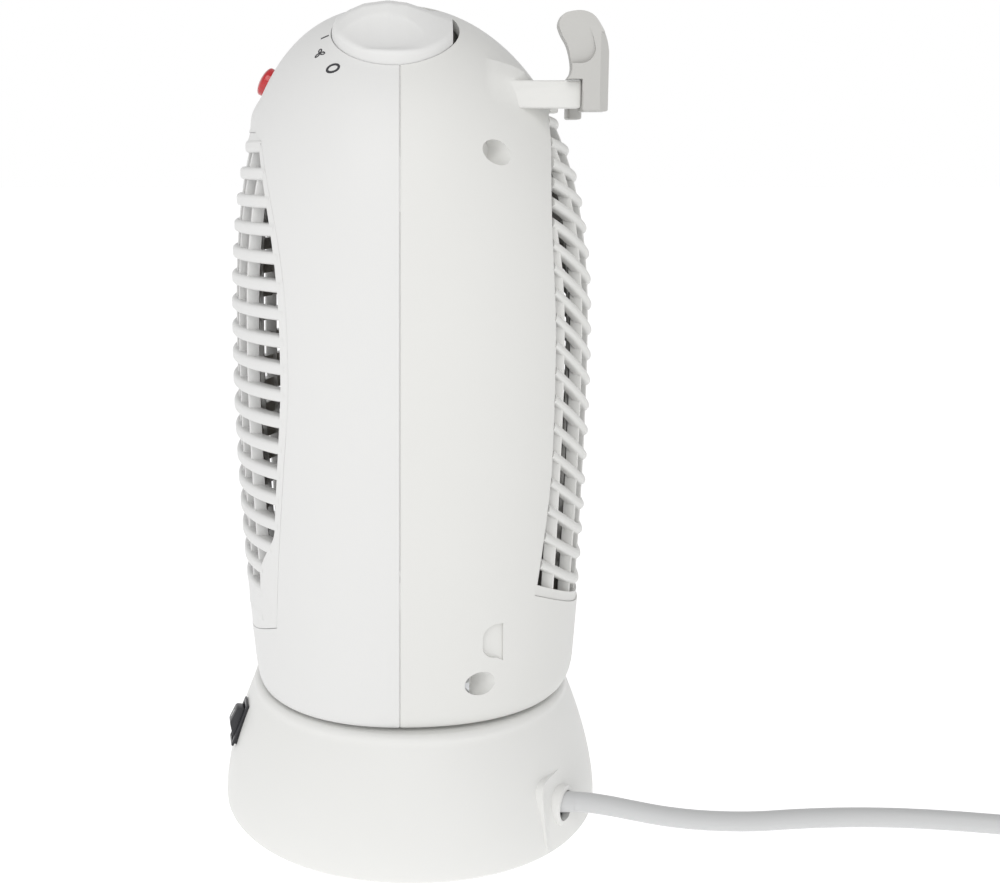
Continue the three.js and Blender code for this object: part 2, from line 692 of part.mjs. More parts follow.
function cordHoleRod(radius, inward, outward) {
  const axis = cordHoleAxis();
  const centre = new THREE.Vector3(CORD_HOLE.x, CORD_HOLE.y, CORD_HOLE.z);
  const from = centre.clone().addScaledVector(axis, -inward);
  return rod(from, centre.clone().addScaledVector(axis, outward), radius, 20);
}

function baseShell() {
  const heights = [BASE_RIM_Z, 4, 12, 20, 28, 36, 43, BASE_TOP_Z - BASE_EDGE];
  const rings = heights.map((z) => baseRing(z, 0, 32));
  const top = baseRing(BASE_TOP_Z - BASE_EDGE, BASE_EDGE, 32).map((p) => p.setZ(BASE_TOP_Z));
  const innerRings = [0, 4, 16, 28, 38, BASE_TOP_Z - 3].map((z) => baseRing(z, WALL, 24));
  const hole = rodZ(0, 0, 40, 60, SWIVEL_HOLE_RADIUS, 24);
  const [across, along] = [ROCKER.halfWidth - 0.65, ROCKER.halfLength - 0.6];
  const window = placed(block(-across, across, -along, along, -ROCKER_DEPTH - 1, 8), rockerFrame());
  const ring = cordHoleRod(7.5, 6, 1.2);
  const hollow = cut(loft([...rings, top]), loft(innerRings), hole, window);
  const path = cordStart();
  const sleeveRoom = rod(path.at(-30), path.at(2), 5.4, 16);
  return cut(join(hollow, ring), cordHoleRod(CORD_HOLE_RADIUS, 16, 9), sleeveRoom);
}

function basePlate() {
  const rings = [1.6, 4].map((z) => baseRing(z, WALL + GAP + 0.5, 24));
  const holes = SCREW_PLACES.flatMap(([x, y]) => [rodZ(x, y, 0, 6, 2, 10), rodZ(x, y, 0, 2.9, 3.6, 12)]);
  return cut(loft(rings), ...holes);
}

// Pad under the base plate, on which the heater stands.
function rubberFoot([x, y]) {
  return rodZ(x, y, 0, 1.6 - GAP, FOOT_RADIUS, 20);
}

// Screw with a pan head just above the floor and a shank up through the base plate.
function baseScrew([x, y]) {
  return join(rodZ(x, y, 1, 2.5, 3.2, 12), rodZ(x, y, 2.3, 3.7, 1.6, 10));
}

function rockerBezel() {
  const { halfWidth, halfLength } = ROCKER;
  const { low, high } = ROCKER_FLANGE;
  const flange = block(-halfWidth, halfWidth, -halfLength, halfLength, low, high);
  const [across, along] = [halfWidth - 0.95, halfLength - 0.9];
  const body = block(-across, across, -along, along, -ROCKER_DEPTH, low + 0.1);
  return cut(join(flange, body), block(0.8 - across, across - 0.8, 0.45 - along, along - 0.45, -5, 4));
}

// Roof-shaped rocker with its lower half pressed in, drawn from the side as [up the slope, outward].
function rocker() {
  const side = [[-6.3, 0.5], [-6.3, 1.2], [-0.8, 4.7], [5.6, 4.1], [6.3, 0.8], [2.8, -2.6], [-2.8, -2.6]];
  const halfWidth = ROCKER.halfWidth - 2.1;
  return prismX(side, -halfWidth, halfWidth);
}

// ---- Cord ---------------------------------------------------------------------------------

// Route of the cord from the strain relief to the coil, in order.
const CORD_ROUTE = [
  [53.5, 59.6, 16.2], [53.3, 64, 15.9], [52.6, 72, 14.4], [51.4, 82, 11.8], [49.8, 93, 8.9], [47.8, 105, 6.4],
  [45.8, 117, 4.7], [43.9, 130, CORD_FLOOR_Z], [42, 146, CORD_FLOOR_Z], [40.8, 163, CORD_FLOOR_Z],
  [41, 181, CORD_FLOOR_Z], [42.8, 199, CORD_FLOOR_Z], [45.8, 217, CORD_FLOOR_Z], [49.6, 235, CORD_FLOOR_Z],
  [53.4, 253, CORD_FLOOR_Z], [55.4, 270, CORD_FLOOR_Z],
];

function tube(points, radius, sides, steps) {
  const vectors = points.map((point) => new THREE.Vector3(...point));
  const path = new THREE.CatmullRomCurve3(vectors, false, 'centripetal');
  const section = new THREE.Shape();
  for (let i = 0; i < sides; i++) {
    const angle = (i / sides) * 2 * Math.PI;
    const [x, y] = [radius * Math.cos(angle), radius * Math.sin(angle)];
    if (i === 0) section.moveTo(x, y);
    else section.lineTo(x, y);
  }
  return solid(new THREE.ExtrudeGeometry(section, { steps, extrudePath: path, bevelEnabled: false }));
}

function coil() {
  const { x, y, innerRadius, outerRadius, height } = COIL;
  const bevel = 2;
  return turned([
    [innerRadius, 0.1 + bevel], [innerRadius + bevel, 0.1], [outerRadius - bevel, 0.1], [outerRadius, 0.1 + bevel],
    [outerRadius, height - bevel], [outerRadius - bevel, height], [innerRadius + bevel, height],
    [innerRadius, height - bevel], [innerRadius, 0.1 + bevel],
  ], 32).translate([x, y, 0]);
}

// Tapered sleeve moulded on the cord where it passes through the base wall.
function strainRelief() {
  const path = cordStart();
  return rod(path.at(-24), path.at(0), 5, 16, 4.4);
}

// The cord's last stretch, inside the base under the clamp.
function innerLead() {
  const path = cordStart();
  return rod(path.at(-46), path.at(-24 - GAP), CORD_RADIUS, 12);
}

// Straight start of the cord, along which the strain relief lies.
function cordStart() {
  const [first, second] = CORD_ROUTE.map((point) => new THREE.Vector3(...point));
  const along = second.clone().sub(first).normalize();
  return { at: (distance) => first.clone().addScaledVector(along, distance - GAP) };
}

// Bridge screwed over the cord inside the base.
function cordClamp() {
  const legs = [block(45.5, 49.5, 24, 32, 4.3, 23), block(60, 64, 24, 32, 4.3, 23)];
  return join(...legs, block(45.5, 64, 24, 32, 22.6, 25));
}

// Moulded three-pin plug lying on its back beside the coil.
function plugBody() {
  const half = 25;
  const outline = [
    [-half, 6], [-half, 40], [-half + 6, 46], [half - 6, 46], [half, 40], [half, 6], [half - 8, 0], [-half + 8, 0],
  ];
  const shoulders = prismZ(outline, 0.2, 21);
  const neck = rodY(0, -10, 2, CORD_FLOOR_Z + 6, 6.5, 16);
  return join(shoulders, neck).translate([PLUG.x, PLUG.y, 0]);
}

// Flat brass pin standing on the plug's face, by its corner and size across the face.
function plugPin([x, y, width, depth, length]) {
  return block(x, x + width, y, y + depth, 21 + GAP, 21 + length).translate([PLUG.x, PLUG.y, 0]);
}

// ---- Assembly -----------------------------------------------------------------------------

const heater = new THREE.Group();

function add(name, manifold, color, roughness, metalness = 0, parent = heater) {
  const material = new THREE.MeshStandardMaterial({ color, roughness, metalness });
  const mesh = new THREE.Mesh(toGeometry(manifold), material);
  mesh.name = name;
  parent.add(mesh);
  return mesh;
}

const WHITE = 0xe8e8e4;
const WARM_WHITE = 0xe6e6de;
const BLACK = 0x1c1c1e;
const STEEL = 0xa8abad;
const NATURAL = 0xd8d4c6;

// Both shells, their grilles, the handle and the screws through the shells.
function addCasing() {
  const skin = housingSkin(housingOuter());
  add('front_shell', frontShell(skin), WHITE, 0.55);
  add('rear_shell', rearShell(skin), WARM_WHITE, 0.55);
  add('front_grille', grille(FRONT, FRONT_GRILLE, frontGrilleHalfWidth, () => 0), WHITE, 0.5);
  add('rear_grille', grille(REAR, REAR_GRILLE, rearGrilleHalfWidth, rearBarLift), WARM_WHITE, 0.5);
  add('handle_grip', handleGrip(), WARM_WHITE, 0.5);
  [-1, 1].forEach((side, i) => {
    const { x, z, headY, tipY } = GRIP_SCREW;
    add(`grip_screw_${i + 1}`, screwY(side * x, z, headY + GAP, tipY, 1.2), STEEL, 0.35, 0.9);
  });
  SHELL_SCREWS.flatMap(({ x, z }) => [[-x, z], [x, z]]).forEach(([x, z], i) => {
    add(`housing_screw_${i + 1}`, screwY(x, z, 18.4, -14, 1.6), STEEL, 0.35, 0.9);
  });
}

// Knob, spindle and switch share one tilted frame on each side of the dome.
function controlGroup(side) {
  const group = new THREE.Group();
  group.position.set(side * KNOB_X, KNOB_Y, KNOB_Z);
  group.rotation.y = side * KNOB_TILT;
  heater.add(group);
  return group;
}

function addControls() {
  const near = controlGroup(1);
  add('mode_knob', knob(), WHITE, 0.5, 0, near);
  add('mode_spindle', spindle(), NATURAL, 0.5, 0, near);
  add('mode_switch', modeSwitch(), BLACK, 0.5, 0, near);
  const far = controlGroup(-1);
  add('thermostat_knob', knob(), WHITE, 0.5, 0, far);
  add('thermostat_spindle', spindle(), NATURAL, 0.5, 0, far);
  add('thermostat', thermostatBody(), NATURAL, 0.6, 0, far);
  add('control_bracket', controlBracket(), STEEL, 0.4, 0.8);
  add('indicator_lens', indicatorLens(), 0xb5121b, 0.15);
  add('lamp_holder', lampHolder(), BLACK, 0.5);
}

function addAirPath() {
  add('air_duct', airDuct(), 0x6e655c, 0.7);
  add('fan_shroud', fanShroud(), 0x6e655c, 0.7);
  add('impeller', impeller(), 0x3a3a3c, 0.5);
  add('fan_motor', fanMotor(), STEEL, 0.4, 0.8);
  add('motor_mount', motorMount(), STEEL, 0.45, 0.8);
  add('element_frame', elementFrame(), 0x55504a, 0.7);
  add('heating_element', heatingElement(), 0xb8b0a2, 0.5, 0.6);
  add('thermal_cutout', thermalCutout(), STEEL, 0.4, 0.8);
}

function addSwivel() {
  add('turntable', turntable(), NATURAL, 0.5);
  add('retaining_ring', retainingRing(), STEEL, 0.4, 0.8);
  add('slotted_arm', slottedArm(), NATURAL, 0.5);
  add('swivel_washer', swivelWasher(), NATURAL, 0.4);
  add('crank_disc', crank(), NATURAL, 0.5);
  add('drive_motor', driveMotor(), STEEL, 0.4, 0.8);
  add('drive_bracket', driveBracket(), NATURAL, 0.6);
}

function addBase() {
  add('base_shell', baseShell(), WHITE, 0.55);
  add('base_plate', basePlate(), WHITE, 0.6);
  SCREW_PLACES.forEach((place, i) => add(`base_screw_${i + 1}`, baseScrew(place), STEEL, 0.35, 0.9));
  FOOT_PLACES.forEach((place, i) => add(`rubber_foot_${i + 1}`, rubberFoot(place), BLACK, 0.9));
  const frame = rockerFrame();
  add('rocker_bezel', placed(rockerBezel(), frame), BLACK, 0.4);
  add('rocker', placed(rocker(), frame), BLACK, 0.35);
}

function addCord() {
  add('strain_relief', strainRelief(), WHITE, 0.5);
  add('inner_lead', innerLead(), 0xdfe0e0, 0.5);
  add('cord_clamp', cordClamp(), NATURAL, 0.6);
  add('power_cord', tube(CORD_ROUTE, CORD_RADIUS, 8, 30), 0xdfe0e0, 0.5);
  add('cord_coil', coil(), 0xdfe0e0, 0.5);
  add('plug_body', plugBody(), 0xe2e2de, 0.4);
  PLUG_PINS.forEach((pin, i) => add(`plug_pin_${i + 1}`, plugPin(pin), 0xc0a060, 0.3, 0.9));
}

addCasing();
addControls();
addAirPath();
addSwivel();
addBase();
addCord();

export default heater;
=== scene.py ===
from math import atan2, copysign, cos, pi, radians, sin, sqrt

import bmesh
import bpy
import numpy as np
from mathutils import Matrix, Vector


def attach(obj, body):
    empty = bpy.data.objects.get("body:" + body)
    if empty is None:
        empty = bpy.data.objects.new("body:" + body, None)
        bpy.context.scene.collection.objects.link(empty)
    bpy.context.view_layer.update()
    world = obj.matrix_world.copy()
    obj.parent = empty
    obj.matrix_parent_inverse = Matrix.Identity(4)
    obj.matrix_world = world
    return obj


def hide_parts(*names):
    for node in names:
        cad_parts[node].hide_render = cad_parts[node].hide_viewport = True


# Looks of an oscillating ceramic space heater. Lengths are in millimetres, and MM turns them
# into metres. The warm air leaves towards -Y.
MM = 0.001

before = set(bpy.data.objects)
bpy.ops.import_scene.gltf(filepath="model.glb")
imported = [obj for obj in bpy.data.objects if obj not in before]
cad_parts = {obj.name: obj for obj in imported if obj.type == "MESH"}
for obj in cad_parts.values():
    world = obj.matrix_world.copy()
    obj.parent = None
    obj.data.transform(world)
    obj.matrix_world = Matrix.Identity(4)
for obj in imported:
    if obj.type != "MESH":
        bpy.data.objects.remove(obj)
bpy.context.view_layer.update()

# Reach of cutters that go right past the housing.
FAR, TALL = 95, 320

# ---- Driving dimensions ----

SEAM_GAP = 0.06
WALL = 2.5

SEAM_Y = -4.0
HOUSING_BOTTOM_Z = 50.5
HOUSING_TOP_Z = 304.5
WAIST_Z = 177.0
SIDE = dict(widest=70.0, taper=0.00035, rise=2.7, round=2.3, lip=2.0)
FRONT = dict(sign=-1, widest=63.7, taper=0.00162, rise=2.85, round=2.6, lip=1.0)
REAR = dict(sign=1, widest=72.7, taper=0.0011, rise=2.6, round=2.0, lip=3.4)
TAPER_POWER = 1.75
LIP_HEIGHT = 9.0
PLAN_SQUARENESS = 2.2

BASE_HALF_WIDTH = 84.5
BASE_HALF_DEPTH = 73.3
BASE_TOP_Z = 49.0
BASE_RIM_Z = 0.4
BASE_RIM_HEIGHT = 3.0
BASE_SHRINK = 0.18
BASE_SHRINK_POWER = 1.6
BASE_SQUARENESS = 2.1

RIB_WIDTH = 3.0
# Above one height, and below another, an opening's half width changes: start, change, run, power.
FRONT_GRILLE = dict(bars=19, top_bar=253.5, pitch=9.52, low=71.0, corner=81.0, high=258.6, half=58.3,
                    above=(172.0, -22.9, 83.0, 3.0), below=(172.0, -10.1, 91.0, 1.35))
REAR_GRILLE = dict(bars=19, top_bar=261.3, pitch=9.6, low=80.8, corner=95.0, high=267.0, half=49.7,
                   above=(190.0, -15.0, 64.7, 3.3), below=(140.0, 3.7, 46.6, 1.2))
RIM_WIDTH = 2.5
PANEL_THICKNESS = 3.6
BAR_END_GAP = 0.8
REAR_SAG = dict(depth=18.0, across=46.0, middle=165.0, above=109.0, below=168.0)

KNOB_X, KNOB_Y, KNOB_Z = 27.8, SEAM_Y - 1.7, 289.9
KNOB_TILT = radians(24.5)
KNOB_RADIUS = 22.3
KNOB_WELL_RADIUS = 22.6
KNOB_CHORD_Y = 20.0

ARM = dict(inner=31.0, outer=41.0, low=266.6, high=276.0, end=58.4)
GRIP = dict(inner=30.0, outer=44.0, low=265.4, high=276.6, start=58.7, end=67.8, blade=8.0)
LENS_RADIUS = 5.5
GRIP_SCREW = (36.0, 270.5)
SHELL_SCREWS = [(55.0, 251.5), (62.0, 65.0)]
SCREW_RECESSES = [(55.0, 251.5), (63.9, 66.0)]
SCREW_POST_RADIUS = 6.5
SCREW_RECESS_RADIUS = 4.3
SWIVEL_HOLE_RADIUS = 16

ROCKER = dict(x=16.0, z=31.6, turn=9.5, lean=22.0, half_width=5.25, half_length=8.6)
CORD_HOLE = (53.5, 55.8, 15.0)
CORD_HOLE_TURN = 28.0

CORD_RADIUS = 3.65
CORD_FLOOR_Z = CORD_RADIUS + 0.05
COIL = dict(x=8.0, y=298.0, inner=36.2, outer=51.5)
PLUG = dict(x=52.0, y=363.0)

CORD_ROUTE = [
    (53.5, 59.6, 16.2), (53.3, 64, 15.9), (52.6, 72, 14.4), (51.4, 82, 11.8),
    (49.8, 93, 8.9), (47.8, 105, 6.4), (45.8, 117, 4.7),
]
CORD_ROUTE += [(x, y, CORD_FLOOR_Z) for x, y in (
    (43.9, 130), (42, 146), (40.8, 163), (41, 181), (42.8, 199), (45.8, 217), (49.6, 235), (53.4, 253),
    (55.4, 270),
)]

# ---- Mesh tools ----


def spread(start, end, count, endpoint=True):
    """Evenly spaced numbers."""
    return [float(v) for v in np.linspace(start, end, count, endpoint=endpoint)]


def around(count):
    """Evenly spaced angles of a full turn."""
    return spread(0, 2 * pi, count, endpoint=False)


def arc(centre, radii, start, end, steps):
    """Points along part of an ellipse, from one angle to another in degrees."""
    return [
        (centre[0] + radii[0] * cos(radians(t)), centre[1] + radii[1] * sin(radians(t)))
        for t in spread(start, end, steps)
    ]


def clamp(part):
    return min(1.0, max(0.0, part))


def ease(part):
    part = clamp(part)
    return part * part * (3 - 2 * part)


def along_table(table, value):
    return float(np.interp(value, [p[0] for p in table], [p[1] for p in table]))


def place_object(name, data):
    item = bpy.data.objects.new(name, data)
    bpy.context.scene.collection.objects.link(item)
    return item


def mesh_object(name, points, faces):
    mesh = bpy.data.meshes.new(name)
    mesh.from_pydata([tuple(c * MM for c in p) for p in points], [], faces)
    mesh.validate()
    item = place_object(name, mesh)
    tidy_mesh(item)
    shade(item)
    return item


def tidy_mesh(item):
    nearest = 0.00001
    bm = bmesh.new()
    bm.from_mesh(item.data)
    bmesh.ops.remove_doubles(bm, verts=bm.verts, dist=nearest)
    bmesh.ops.dissolve_degenerate(bm, edges=bm.edges, dist=nearest / 2)
    bmesh.ops.recalc_face_normals(bm, faces=bm.faces)
    bm.to_mesh(item.data)
    bm.free()


def shade(item, angle=32):
    """Smooth shading, with edges sharper than the angle kept crisp."""
    mesh = item.data
    bm = bmesh.new()
    bm.from_mesh(mesh)
    limit = radians(angle)
    for face in bm.faces:
        face.smooth = True
    for edge in bm.edges:
        edge.smooth = not (edge.is_manifold and edge.calc_face_angle(0) > limit)
    bm.to_mesh(mesh)
    bm.free()


def apply_modifiers(item):
    graph = bpy.context.evaluated_depsgraph_get()
    mesh = bpy.data.meshes.new_from_object(item.evaluated_get(graph))
    item.modifiers.clear()
    item.data = mesh


def boolean(item, other, operation):
    """Combines two bodies, then deletes the second."""
    step = item.modifiers.new("boolean", "BOOLEAN")
    step.operation = operation
    step.solver = "MANIFOLD"
    step.object = other
    apply_modifiers(item)
    bpy.data.objects.remove(other)
    if not item.data.polygons:
        raise RuntimeError("empty result for " + item.name)
    return item


def cut(item, cutter):
    return boolean(item, cutter, "DIFFERENCE")


def join(item, other):
    return boolean(item, other, "UNION")


def common(item, other):
    return boolean(item, other, "INTERSECT")


def merge(name, items):
    """Several closed bodies as one object."""
    bm = bmesh.new()
    for item in items:
        bm.from_mesh(item.data)
        bpy.data.objects.remove(item)
    mesh = bpy.data.meshes.new(name)
    bm.to_mesh(mesh)
    bm.free()
    return place_object(name, mesh)


def bevel(item, width, segments=3, angle=35):
    step = item.modifiers.new("bevel", "BEVEL")
    step.width = width * MM
    step.segments = segments
    step.limit_method = "ANGLE"
    step.angle_limit = radians(angle)
    apply_modifiers(item)
    shade(item)
    return item


def loft(name, rings, closed_path=False):
    """Closed body through rings that hold the same number of points."""
    count = len(rings[0])
    points = [tuple(p) for ring in rings for p in ring]
    faces = []
    last = len(rings) if closed_path else len(rings) - 1
    for k in range(last):
        low, high = k * count, ((k + 1) % len(rings)) * count
        for i in range(count):
            j = (i + 1) % count
            faces.append((low + i, low + j, high + j, high + i))
    if not closed_path:
        faces += [tuple(reversed(range(count))), tuple(range(last * count, (last + 1) * count))]
    return mesh_object(name, points, faces)


def prism(name, outline, low, high, axis):
    """Extrudes an outline along x, y or z. The outline holds the other two coordinates."""
    order = {"x": (2, 0, 1), "y": (0, 2, 1), "z": (0, 1, 2)}[axis]
    return loft(name, [[[(a, b, level)[k] for k in order] for a, b in outline] for level in (low, high)])


def block(name, x0, x1, y0, y1, z0, z1):
    return prism(name, [(x0, y0), (x1, y0), (x1, y1), (x0, y1)], z0, z1, "z")


def frame_of(direction):
    """Two unit vectors square to a direction, and the direction's own."""
    along = Vector(direction).normalized()
    helper = Vector((0, 0, 1)) if abs(along.z) < 0.9 else Vector((1, 0, 0))
    side = along.cross(helper).normalized()
    return side, side.cross(along).normalized(), along


def rod(name, start, end, radius, sides=48):
    start, end = Vector(start), Vector(end)
    side, up, _ = frame_of(end - start)
    spokes = [radius * (cos(t) * side + sin(t) * up) for t in around(sides)]
    return loft(name, [[centre + spoke for spoke in spokes] for centre in (start, end)])


def turned(name, profile, origin, direction, sides):
    """Closed profile of (radius, height) turned about an axis."""
    side, up, along = frame_of(direction)
    origin = Vector(origin)
    rings = []
    for t in around(sides):
        spoke = cos(t) * side + sin(t) * up
        rings.append([origin + r * spoke + h * along for r, h in profile])
    return loft(name, rings, closed_path=True)


def grid_faces(rows, columns, offset):
    return [
        (offset + r * columns + c, offset + r * columns + c + 1,
         offset + (r + 1) * columns + c + 1, offset + (r + 1) * columns + c)
        for r in range(rows - 1) for c in range(columns - 1)
    ]


def slab(name, upper, lower, rows, columns):
    """Closed body between two grids of points."""
    count = rows * columns
    border = list(range(columns))
    border += [r * columns + columns - 1 for r in range(1, rows)]
    border += [(rows - 1) * columns + c for c in reversed(range(columns - 1))]
    border += [r * columns for r in reversed(range(1, rows - 1))]
    faces = grid_faces(rows, columns, 0) + grid_faces(rows, columns, count)
    faces += [(a, b, b + count, a + count) for a, b in zip(border, border[1:] + border[:1])]
    return mesh_object(name, upper + lower, faces)


# ---- Housing and base surfaces ----


def reach(direction, z):
    """How far the housing goes from its centre in one direction, at one height."""
    if z > WAIST_Z:
        part = min(1.0, (z - WAIST_Z) / (HOUSING_TOP_Z - WAIST_Z))
        return direction["widest"] * (1 - part ** direction["rise"]) ** (1 / direction["round"])
    drop = min(1.0, max(0.0, HOUSING_BOTTOM_Z + LIP_HEIGHT - z) / LIP_HEIGHT)
    taper = direction["taper"] * (WAIST_Z - z) ** TAPER_POWER
    return direction["widest"] - taper - direction["lip"] * (1 - sqrt(1 - drop**2))


def power(value, exponent):
    return copysign(abs(value) ** exponent, value)


def housing_ring(z, inset, count, ring_z=None):
    ring = []
    for angle in around(count):
        depth = max(0.0, reach(FRONT if sin(angle) < 0 else REAR, z) - inset)
        width = max(0.0, reach(SIDE, z) - inset)
        x = width * power(cos(angle), 2 / PLAN_SQUARENESS)
        y = depth * power(sin(angle), 2 / PLAN_SQUARENESS)
        ring.append((x, SEAM_Y + y, z if ring_z is None else ring_z))
    return ring


def surface_y(direction, x, z):
    """Y of the housing's surface at (x, z), in front or behind."""
    across = min(1.0, abs(x) / max(reach(SIDE, z), 0.001))
    depth = reach(direction, z) * (1 - across**PLAN_SQUARENESS) ** (1 / PLAN_SQUARENESS)
    return SEAM_Y + direction["sign"] * depth


def housing_heights(lip_rings, wall_rings, dome_rings):
    wall_low = HOUSING_BOTTOM_Z + LIP_HEIGHT
    dome = HOUSING_TOP_Z - WAIST_Z
    heights = [HOUSING_BOTTOM_Z + LIP_HEIGHT * (1 - cos(t)) for t in spread(0, pi / 2, lip_rings)]
    heights += spread(wall_low, WAIST_Z, wall_rings)[1:]
    heights += [WAIST_Z + dome * sin(t) for t in spread(0, pi / 2, dome_rings)[1:-1]]
    return heights + [HOUSING_TOP_Z - 0.004]


def housing_inner():
    dome = HOUSING_TOP_Z - WAIST_Z
    low = HOUSING_BOTTOM_Z + WALL
    rings = [housing_ring(low, WALL + 1, 120)]
    for z in housing_heights(4, 12, 24)[:-1]:
        if z > low:
            rings.append(housing_ring(z, WALL, 120, z - WALL * max(0.0, z - WAIST_Z) / dome))
    return loft("housing_inner", rings)


def base_scale(z):
    part = max(0.0, z - BASE_RIM_HEIGHT) / (BASE_TOP_Z + 1 - BASE_RIM_HEIGHT)
    return 1 - BASE_SHRINK * part**BASE_SHRINK_POWER


def base_ring(z, inset, count, ring_z=None):
    ring = []
    for angle in around(count):
        x = (BASE_HALF_WIDTH * base_scale(z) - inset) * power(cos(angle), 2 / BASE_SQUARENESS)
        y = (BASE_HALF_DEPTH * base_scale(z) - inset) * power(sin(angle), 2 / BASE_SQUARENESS)
        ring.append((x, y, z if ring_z is None else ring_z))
    return ring


# ---- Materials ----


def fill(node, values):
    for name, value in values.items():
        node.inputs[name].default_value = value


def new_node(owner, kind, values):
    node = owner.node_tree.nodes.new("ShaderNode" + kind)
    fill(node, values)
    return node


def principled(made):
    return made.node_tree.nodes["Principled BSDF"]


def link(owner, a, out, b, into):
    owner.node_tree.links.new(a.outputs[out], b.inputs[into])


def material(name, colour, roughness, metallic=0.0):
    made = bpy.data.materials.new(name)
    made.use_nodes = True
    fill(principled(made), {"Base Color": (*colour, 1), "Roughness": roughness, "Metallic": metallic})
    return made


def noise(made, scale, detail, stretch=(1, 1, 1)):
    """Noise in the object's own coordinates. The scale is in features per metre."""
    place = new_node(made, "TexCoord", {})
    mapping = new_node(made, "Mapping", {"Scale": stretch})
    texture = new_node(made, "TexNoise", {"Scale": scale, "Detail": detail})
    link(made, place, "Object", mapping, "Vector")
    link(made, mapping, "Vector", texture, "Vector")
    return texture


def vary_colour(made, texture, dark, light):
    """Colour moves gently between two shades."""
    mix = made.node_tree.nodes.new("ShaderNodeMix")
    mix.data_type = "RGBA"
    fill(mix, {6: (*dark, 1), 7: (*light, 1)})
    link(made, texture, "Fac", mix, 0)
    link(made, mix, 2, principled(made), "Base Color")


def vary_roughness(made, texture, low, high):
    span = new_node(made, "MapRange", {"To Min": low, "To Max": high})
    link(made, texture, "Fac", span, "Value")
    link(made, span, "Result", principled(made), "Roughness")


def bump(made, texture, depth, strength, under=None):
    """Relief of a depth in metres, optionally on top of another relief."""
    node = new_node(made, "Bump", {"Distance": depth, "Strength": strength})
    link(made, texture, "Fac", node, "Height")
    if under:
        link(made, under, "Normal", node, "Normal")
    link(made, node, "Normal", principled(made), "Normal")
    return node


def mottle(made, texture, colour, share):
    """Colour moves a little darker and lighter by a share."""
    vary_colour(made, texture, [c * (1 - share) for c in colour], [min(1, c * (1 + share)) for c in colour])


def moulded_plastic(name, colour, roughness, grain=2600, depth=0.00004, share=0.012):
    """Satin moulded plastic: spark-eroded grain, faint flow marks and uneven gloss."""
    made = material(name, colour, roughness)
    mottle(made, noise(made, 22, 4), colour, share)
    vary_roughness(made, noise(made, 60, 5), roughness - 0.06, roughness + 0.06)
    flow = bump(made, noise(made, 45, 2, (1, 1, 0.5)), 0.00012, 0.25)
    bump(made, noise(made, grain, 2), depth, 0.5, flow)
    return made


def soft_pvc(name, colour):
    made = material(name, colour, 0.38)
    mottle(made, noise(made, 30, 3), colour, 0.02)
    vary_roughness(made, noise(made, 120, 4), 0.3, 0.46)
    bump(made, noise(made, 900, 3), 0.00003, 0.4)
    return made


def brushed_metal(name, colour, roughness):
    made = material(name, colour, roughness, 1.0)
    stretch = (1, 1, 12)
    texture = noise(made, 260, 4, stretch)
    mottle(made, texture, colour, 0.06)
    vary_roughness(made, texture, roughness - 0.08, roughness + 0.12)
    bump(made, noise(made, 700, 2, stretch), 0.00003, 0.4)
    return made


def finned_element(name, colour):
    """Rows of thin corrugated aluminium fins, close together along X. The gaps between the fins are painted
    darker as shade.
    """
    made = material(name, colour, 0.42, 0.85)
    place = new_node(made, "TexCoord", {})
    wave = new_node(made, "TexWave", {"Scale": 190, "Distortion": 0.6, "Detail": 2})
    link(made, place, "Object", wave, "Vector")
    # Painted shade: the wave's troughs darken the colour to about a third, standing for the gaps between the
    # fins.
    vary_colour(made, wave, tuple(c * 0.35 for c in colour), colour)
    bump(made, wave, 0.0006, 0.9)
    return made


def tinted_lens(name, colour):
    made = material(name, colour, 0.12)
    fill(principled(made), {"Transmission Weight": 0.25, "Coat Weight": 0.5})
    mottle(made, noise(made, 500, 2), colour, 0.12)
    bump(made, noise(made, 900, 1), 0.00003, 0.3)
    return made


WHITE = (0.72, 0.72, 0.712)
WARM = (0.715, 0.714, 0.694)
# Lighter copy of WHITE for the base: painted light, as the base faces up into the stronger light from above.
PALE_PAINTED_LIGHT = (0.775, 0.775, 0.757)

RECIPES = {
    "white_plastic": (moulded_plastic, WHITE, 0.46),
    "warm_plastic": (moulded_plastic, WARM, 0.48),
    "base_plastic": (moulded_plastic, PALE_PAINTED_LIGHT, 0.46),
    # Darker copy of the warm plastic for the handle grip: painted shade, as the grip sits in the dimmer
    # light towards the rear.
    "grip_plastic": (moulded_plastic, (0.50, 0.495, 0.477), 0.5),
    "cord_pvc": (soft_pvc, (0.585, 0.59, 0.592)),
    "plug_plastic": (moulded_plastic, (0.76, 0.76, 0.73), 0.3, 1500, 0.00002),
    "brass": (brushed_metal, (0.78, 0.60, 0.30), 0.26),
    "steel": (brushed_metal, (0.60, 0.61, 0.62), 0.34),
    "black_plastic": (moulded_plastic, (0.022, 0.022, 0.026), 0.36, 2600, 0.00004, 0.2),
    "natural_plastic": (moulded_plastic, (0.68, 0.64, 0.54), 0.42, 1400, 0.00003, 0.03),
    "duct_plastic": (moulded_plastic, (0.105, 0.078, 0.058), 0.6, 1200, 0.00008, 0.15),
    "element": (finned_element, (0.42, 0.39, 0.34)),
    "rubber": (moulded_plastic, (0.03, 0.03, 0.032), 0.78, 1100, 0.0001, 0.2),
    "red_lens": (tinted_lens, (0.62, 0.012, 0.02)),
    "mark_ink": (moulded_plastic, (0.035, 0.035, 0.04), 0.5, 2600, 0.00002, 0.15),
    "mark_white": (moulded_plastic, (0.7, 0.7, 0.7), 0.5, 2600, 0.00002, 0.05),
}
FINISHES = {name: make(name, *values) for name, (make, *values) in RECIPES.items()}


